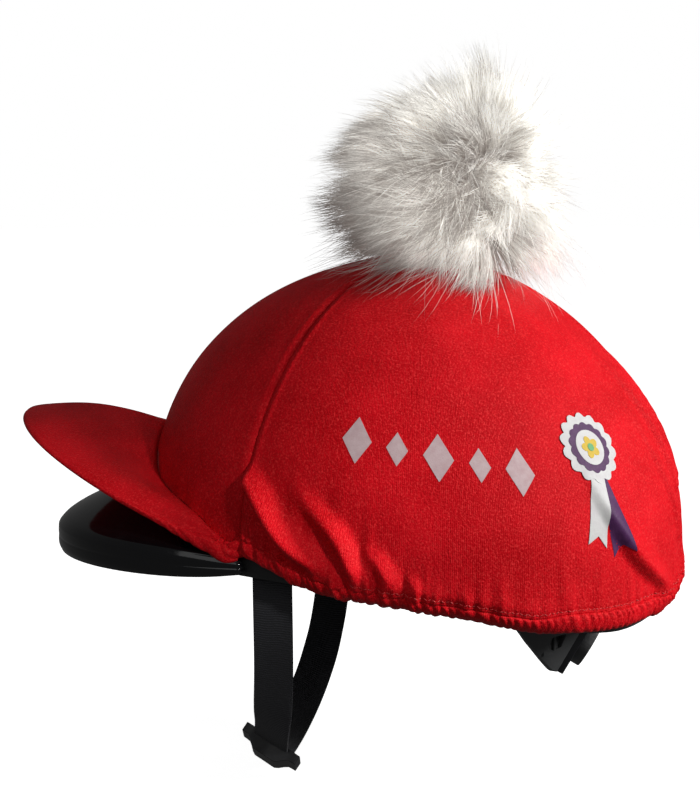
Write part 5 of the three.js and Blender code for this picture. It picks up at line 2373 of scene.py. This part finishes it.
@dataclass
class Studio:
    """Camera, soft lights and a plain pale floor."""

    azimuth: float = 100.0
    elevation: float = 8.0
    distance: float = 1.0
    lens: float = 84.87
    sensor: float = 36.0
    target: tuple[float, float, float] = (-5.153, -35.366, 79.810)

    def stand(
        self,
        thing: Piece,
        aim: tuple[float, float, float],
        azimuth: float,
        elevation: float,
        far: float,
    ) -> None:
        """Stand a camera or a lamp so that it faces a point.

        Args:
            thing: The camera or lamp.
            aim: The point, in metres.
            azimuth: Turn from the front at which it stands.
            elevation: Degrees over the point.
            far: Distance in metres.
        """
        bpy.context.scene.collection.objects.link(thing)
        turn, climb = math.radians(azimuth), math.radians(elevation)
        back = Vector((math.sin(turn) * math.cos(climb), -math.cos(turn) * math.cos(climb), math.sin(climb)))
        thing.location = Vector(aim) + back * far
        thing.rotation_euler = back.to_track_quat("Z", "Y").to_euler()

    def camera(self) -> None:
        """Place the camera where the photograph was taken from."""
        data = bpy.data.cameras.new("camera")
        data.lens = self.lens
        data.sensor_width = self.sensor
        data.sensor_fit = "VERTICAL"
        data.sensor_height = self.sensor
        data.clip_start = 0.05
        camera = bpy.data.objects.new("camera", data)
        target = tuple(Vector(self.target) * MM)
        self.stand(camera, target, self.azimuth, self.elevation, self.distance)
        bpy.context.scene.camera = camera

    def light(
        self, name: str, azimuth: float, elevation: float, far: float, size: float, power: float
    ) -> None:
        """Add a square soft light that faces the cap.

        Args:
            name: Name of the light.
            azimuth: Turn from the front at which it stands.
            elevation: Degrees over the cap.
            far: Distance in metres.
            size: Side in metres.
            power: Watts.
        """
        data = bpy.data.lights.new(name, "AREA")
        data.size = size
        data.energy = power
        self.stand(bpy.data.objects.new(name, data), (0, 0, 0.08), azimuth, elevation, far)

    def spot(
        self,
        aim: tuple[float, float, float],
        azimuth: float,
        elevation: float,
        far: float,
        cone: float,
        power: float,
    ) -> None:
        """Add a small accent light that grazes the folds by the hem's front end.

        Args:
            aim: The point that it faces.
            azimuth: Turn from the front at which it stands, seen from there.
            elevation: Degrees over that point.
            far: Distance in metres.
            cone: Whole angle of its soft cone in degrees.
            power: Watts.
        """
        data = bpy.data.lights.new("accent", "SPOT")
        data.energy = power
        data.spot_size = math.radians(cone)
        data.spot_blend = 1.0
        data.shadow_soft_size = 0.03
        self.stand(bpy.data.objects.new("accent", data), aim, azimuth, elevation, far)

    def world(self) -> None:
        """Light the room dimly and show it white behind the cap."""
        world = bpy.data.worlds.new("room")
        world.use_nodes = True
        tree = world.node_tree
        glow = tree.nodes["Background"]
        glow.inputs["Color"].default_value = (1, 1, 1, 1)
        glow.inputs["Strength"].default_value = 0.085
        wall = tree.nodes.new("ShaderNodeBackground")
        wall.inputs["Color"].default_value = (1, 1, 1, 1)
        wall.inputs["Strength"].default_value = 1.0
        path = tree.nodes.new("ShaderNodeLightPath")
        mix = tree.nodes.new("ShaderNodeMixShader")
        tree.links.new(path.outputs["Is Camera Ray"], mix.inputs[0])
        tree.links.new(glow.outputs[0], mix.inputs[1])
        tree.links.new(wall.outputs[0], mix.inputs[2])
        tree.links.new(mix.outputs[0], tree.nodes["World Output"].inputs["Surface"])
        bpy.context.scene.world = world

    def floor(self) -> None:
        """Lay the floor just under the chin strap."""
        deselect()
        low = CAD_BOX[0][2] - 0.004
        bpy.ops.mesh.primitive_circle_add(vertices=128, radius=6, fill_type="NGON", location=(0, 0, low))
        floor = bpy.context.object
        floor.name = "floor"
        floor.data.materials.append(PaleFloor().build())
        floor.visible_diffuse = False
        floor.visible_glossy = False
        floor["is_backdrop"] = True

    def build(self) -> None:
        """Set up the whole studio."""
        self.camera()
        self.light("key", azimuth=170, elevation=23, far=1.7, size=0.5, power=37)
        self.spot((0.096, -0.066, 0.034), azimuth=136, elevation=25, far=0.8, cone=12.0, power=10.5)
        self.light("over", azimuth=150, elevation=75, far=1.6, size=1.0, power=2.5)
        self.light("front", azimuth=75, elevation=30, far=2.0, size=1.2, power=3.4)
        self.world()
        self.floor()
        bpy.context.scene.view_settings.view_transform = "Standard"


def main() -> None:
    """Build every piece of the cap in order and report it."""
    logging.basicConfig(level=logging.INFO, format="%(name)s %(message)s")
    studio = Studio()
    studio.build()
    finishes = Finishes()
    shell = Shell().build(finishes)
    gloss_peak = HardPeak().build(finishes)
    left = SidePanel(Side.LEFT).build(finishes)
    right = SidePanel(Side.RIGHT, rows=84, columns=150).build(finishes)
    front = FrontPanel().build(finishes)
    soft_peak = ClothPeak()
    peak = soft_peak.build(finishes)
    puckers = PeakGathers(soft_peak).build(finishes)
    hem = ElasticHem().build(finishes)
    stitches = HemStitches().build(finishes)
    prints = PanelPrints().build(finishes)
    fur = Pompom().build(finishes)
    strap = ChinStrap()
    webbing = strap.build(finishes)
    buckle = ChinBuckle(strap).build(finishes)
    cradle = NapeCradle()
    plate = cradle.build_strip(finishes)
    housing = cradle.build_housing(finishes)
    dial = AdjusterDial(cradle).build(finishes)
    cover = (left, right, front, peak, puckers, hem, stitches, *prints)
    for piece in (shell, gloss_peak, *cover, *fur, webbing, buckle, plate, housing, dial):
        report(piece)


if __name__ == "__main__":
    main()
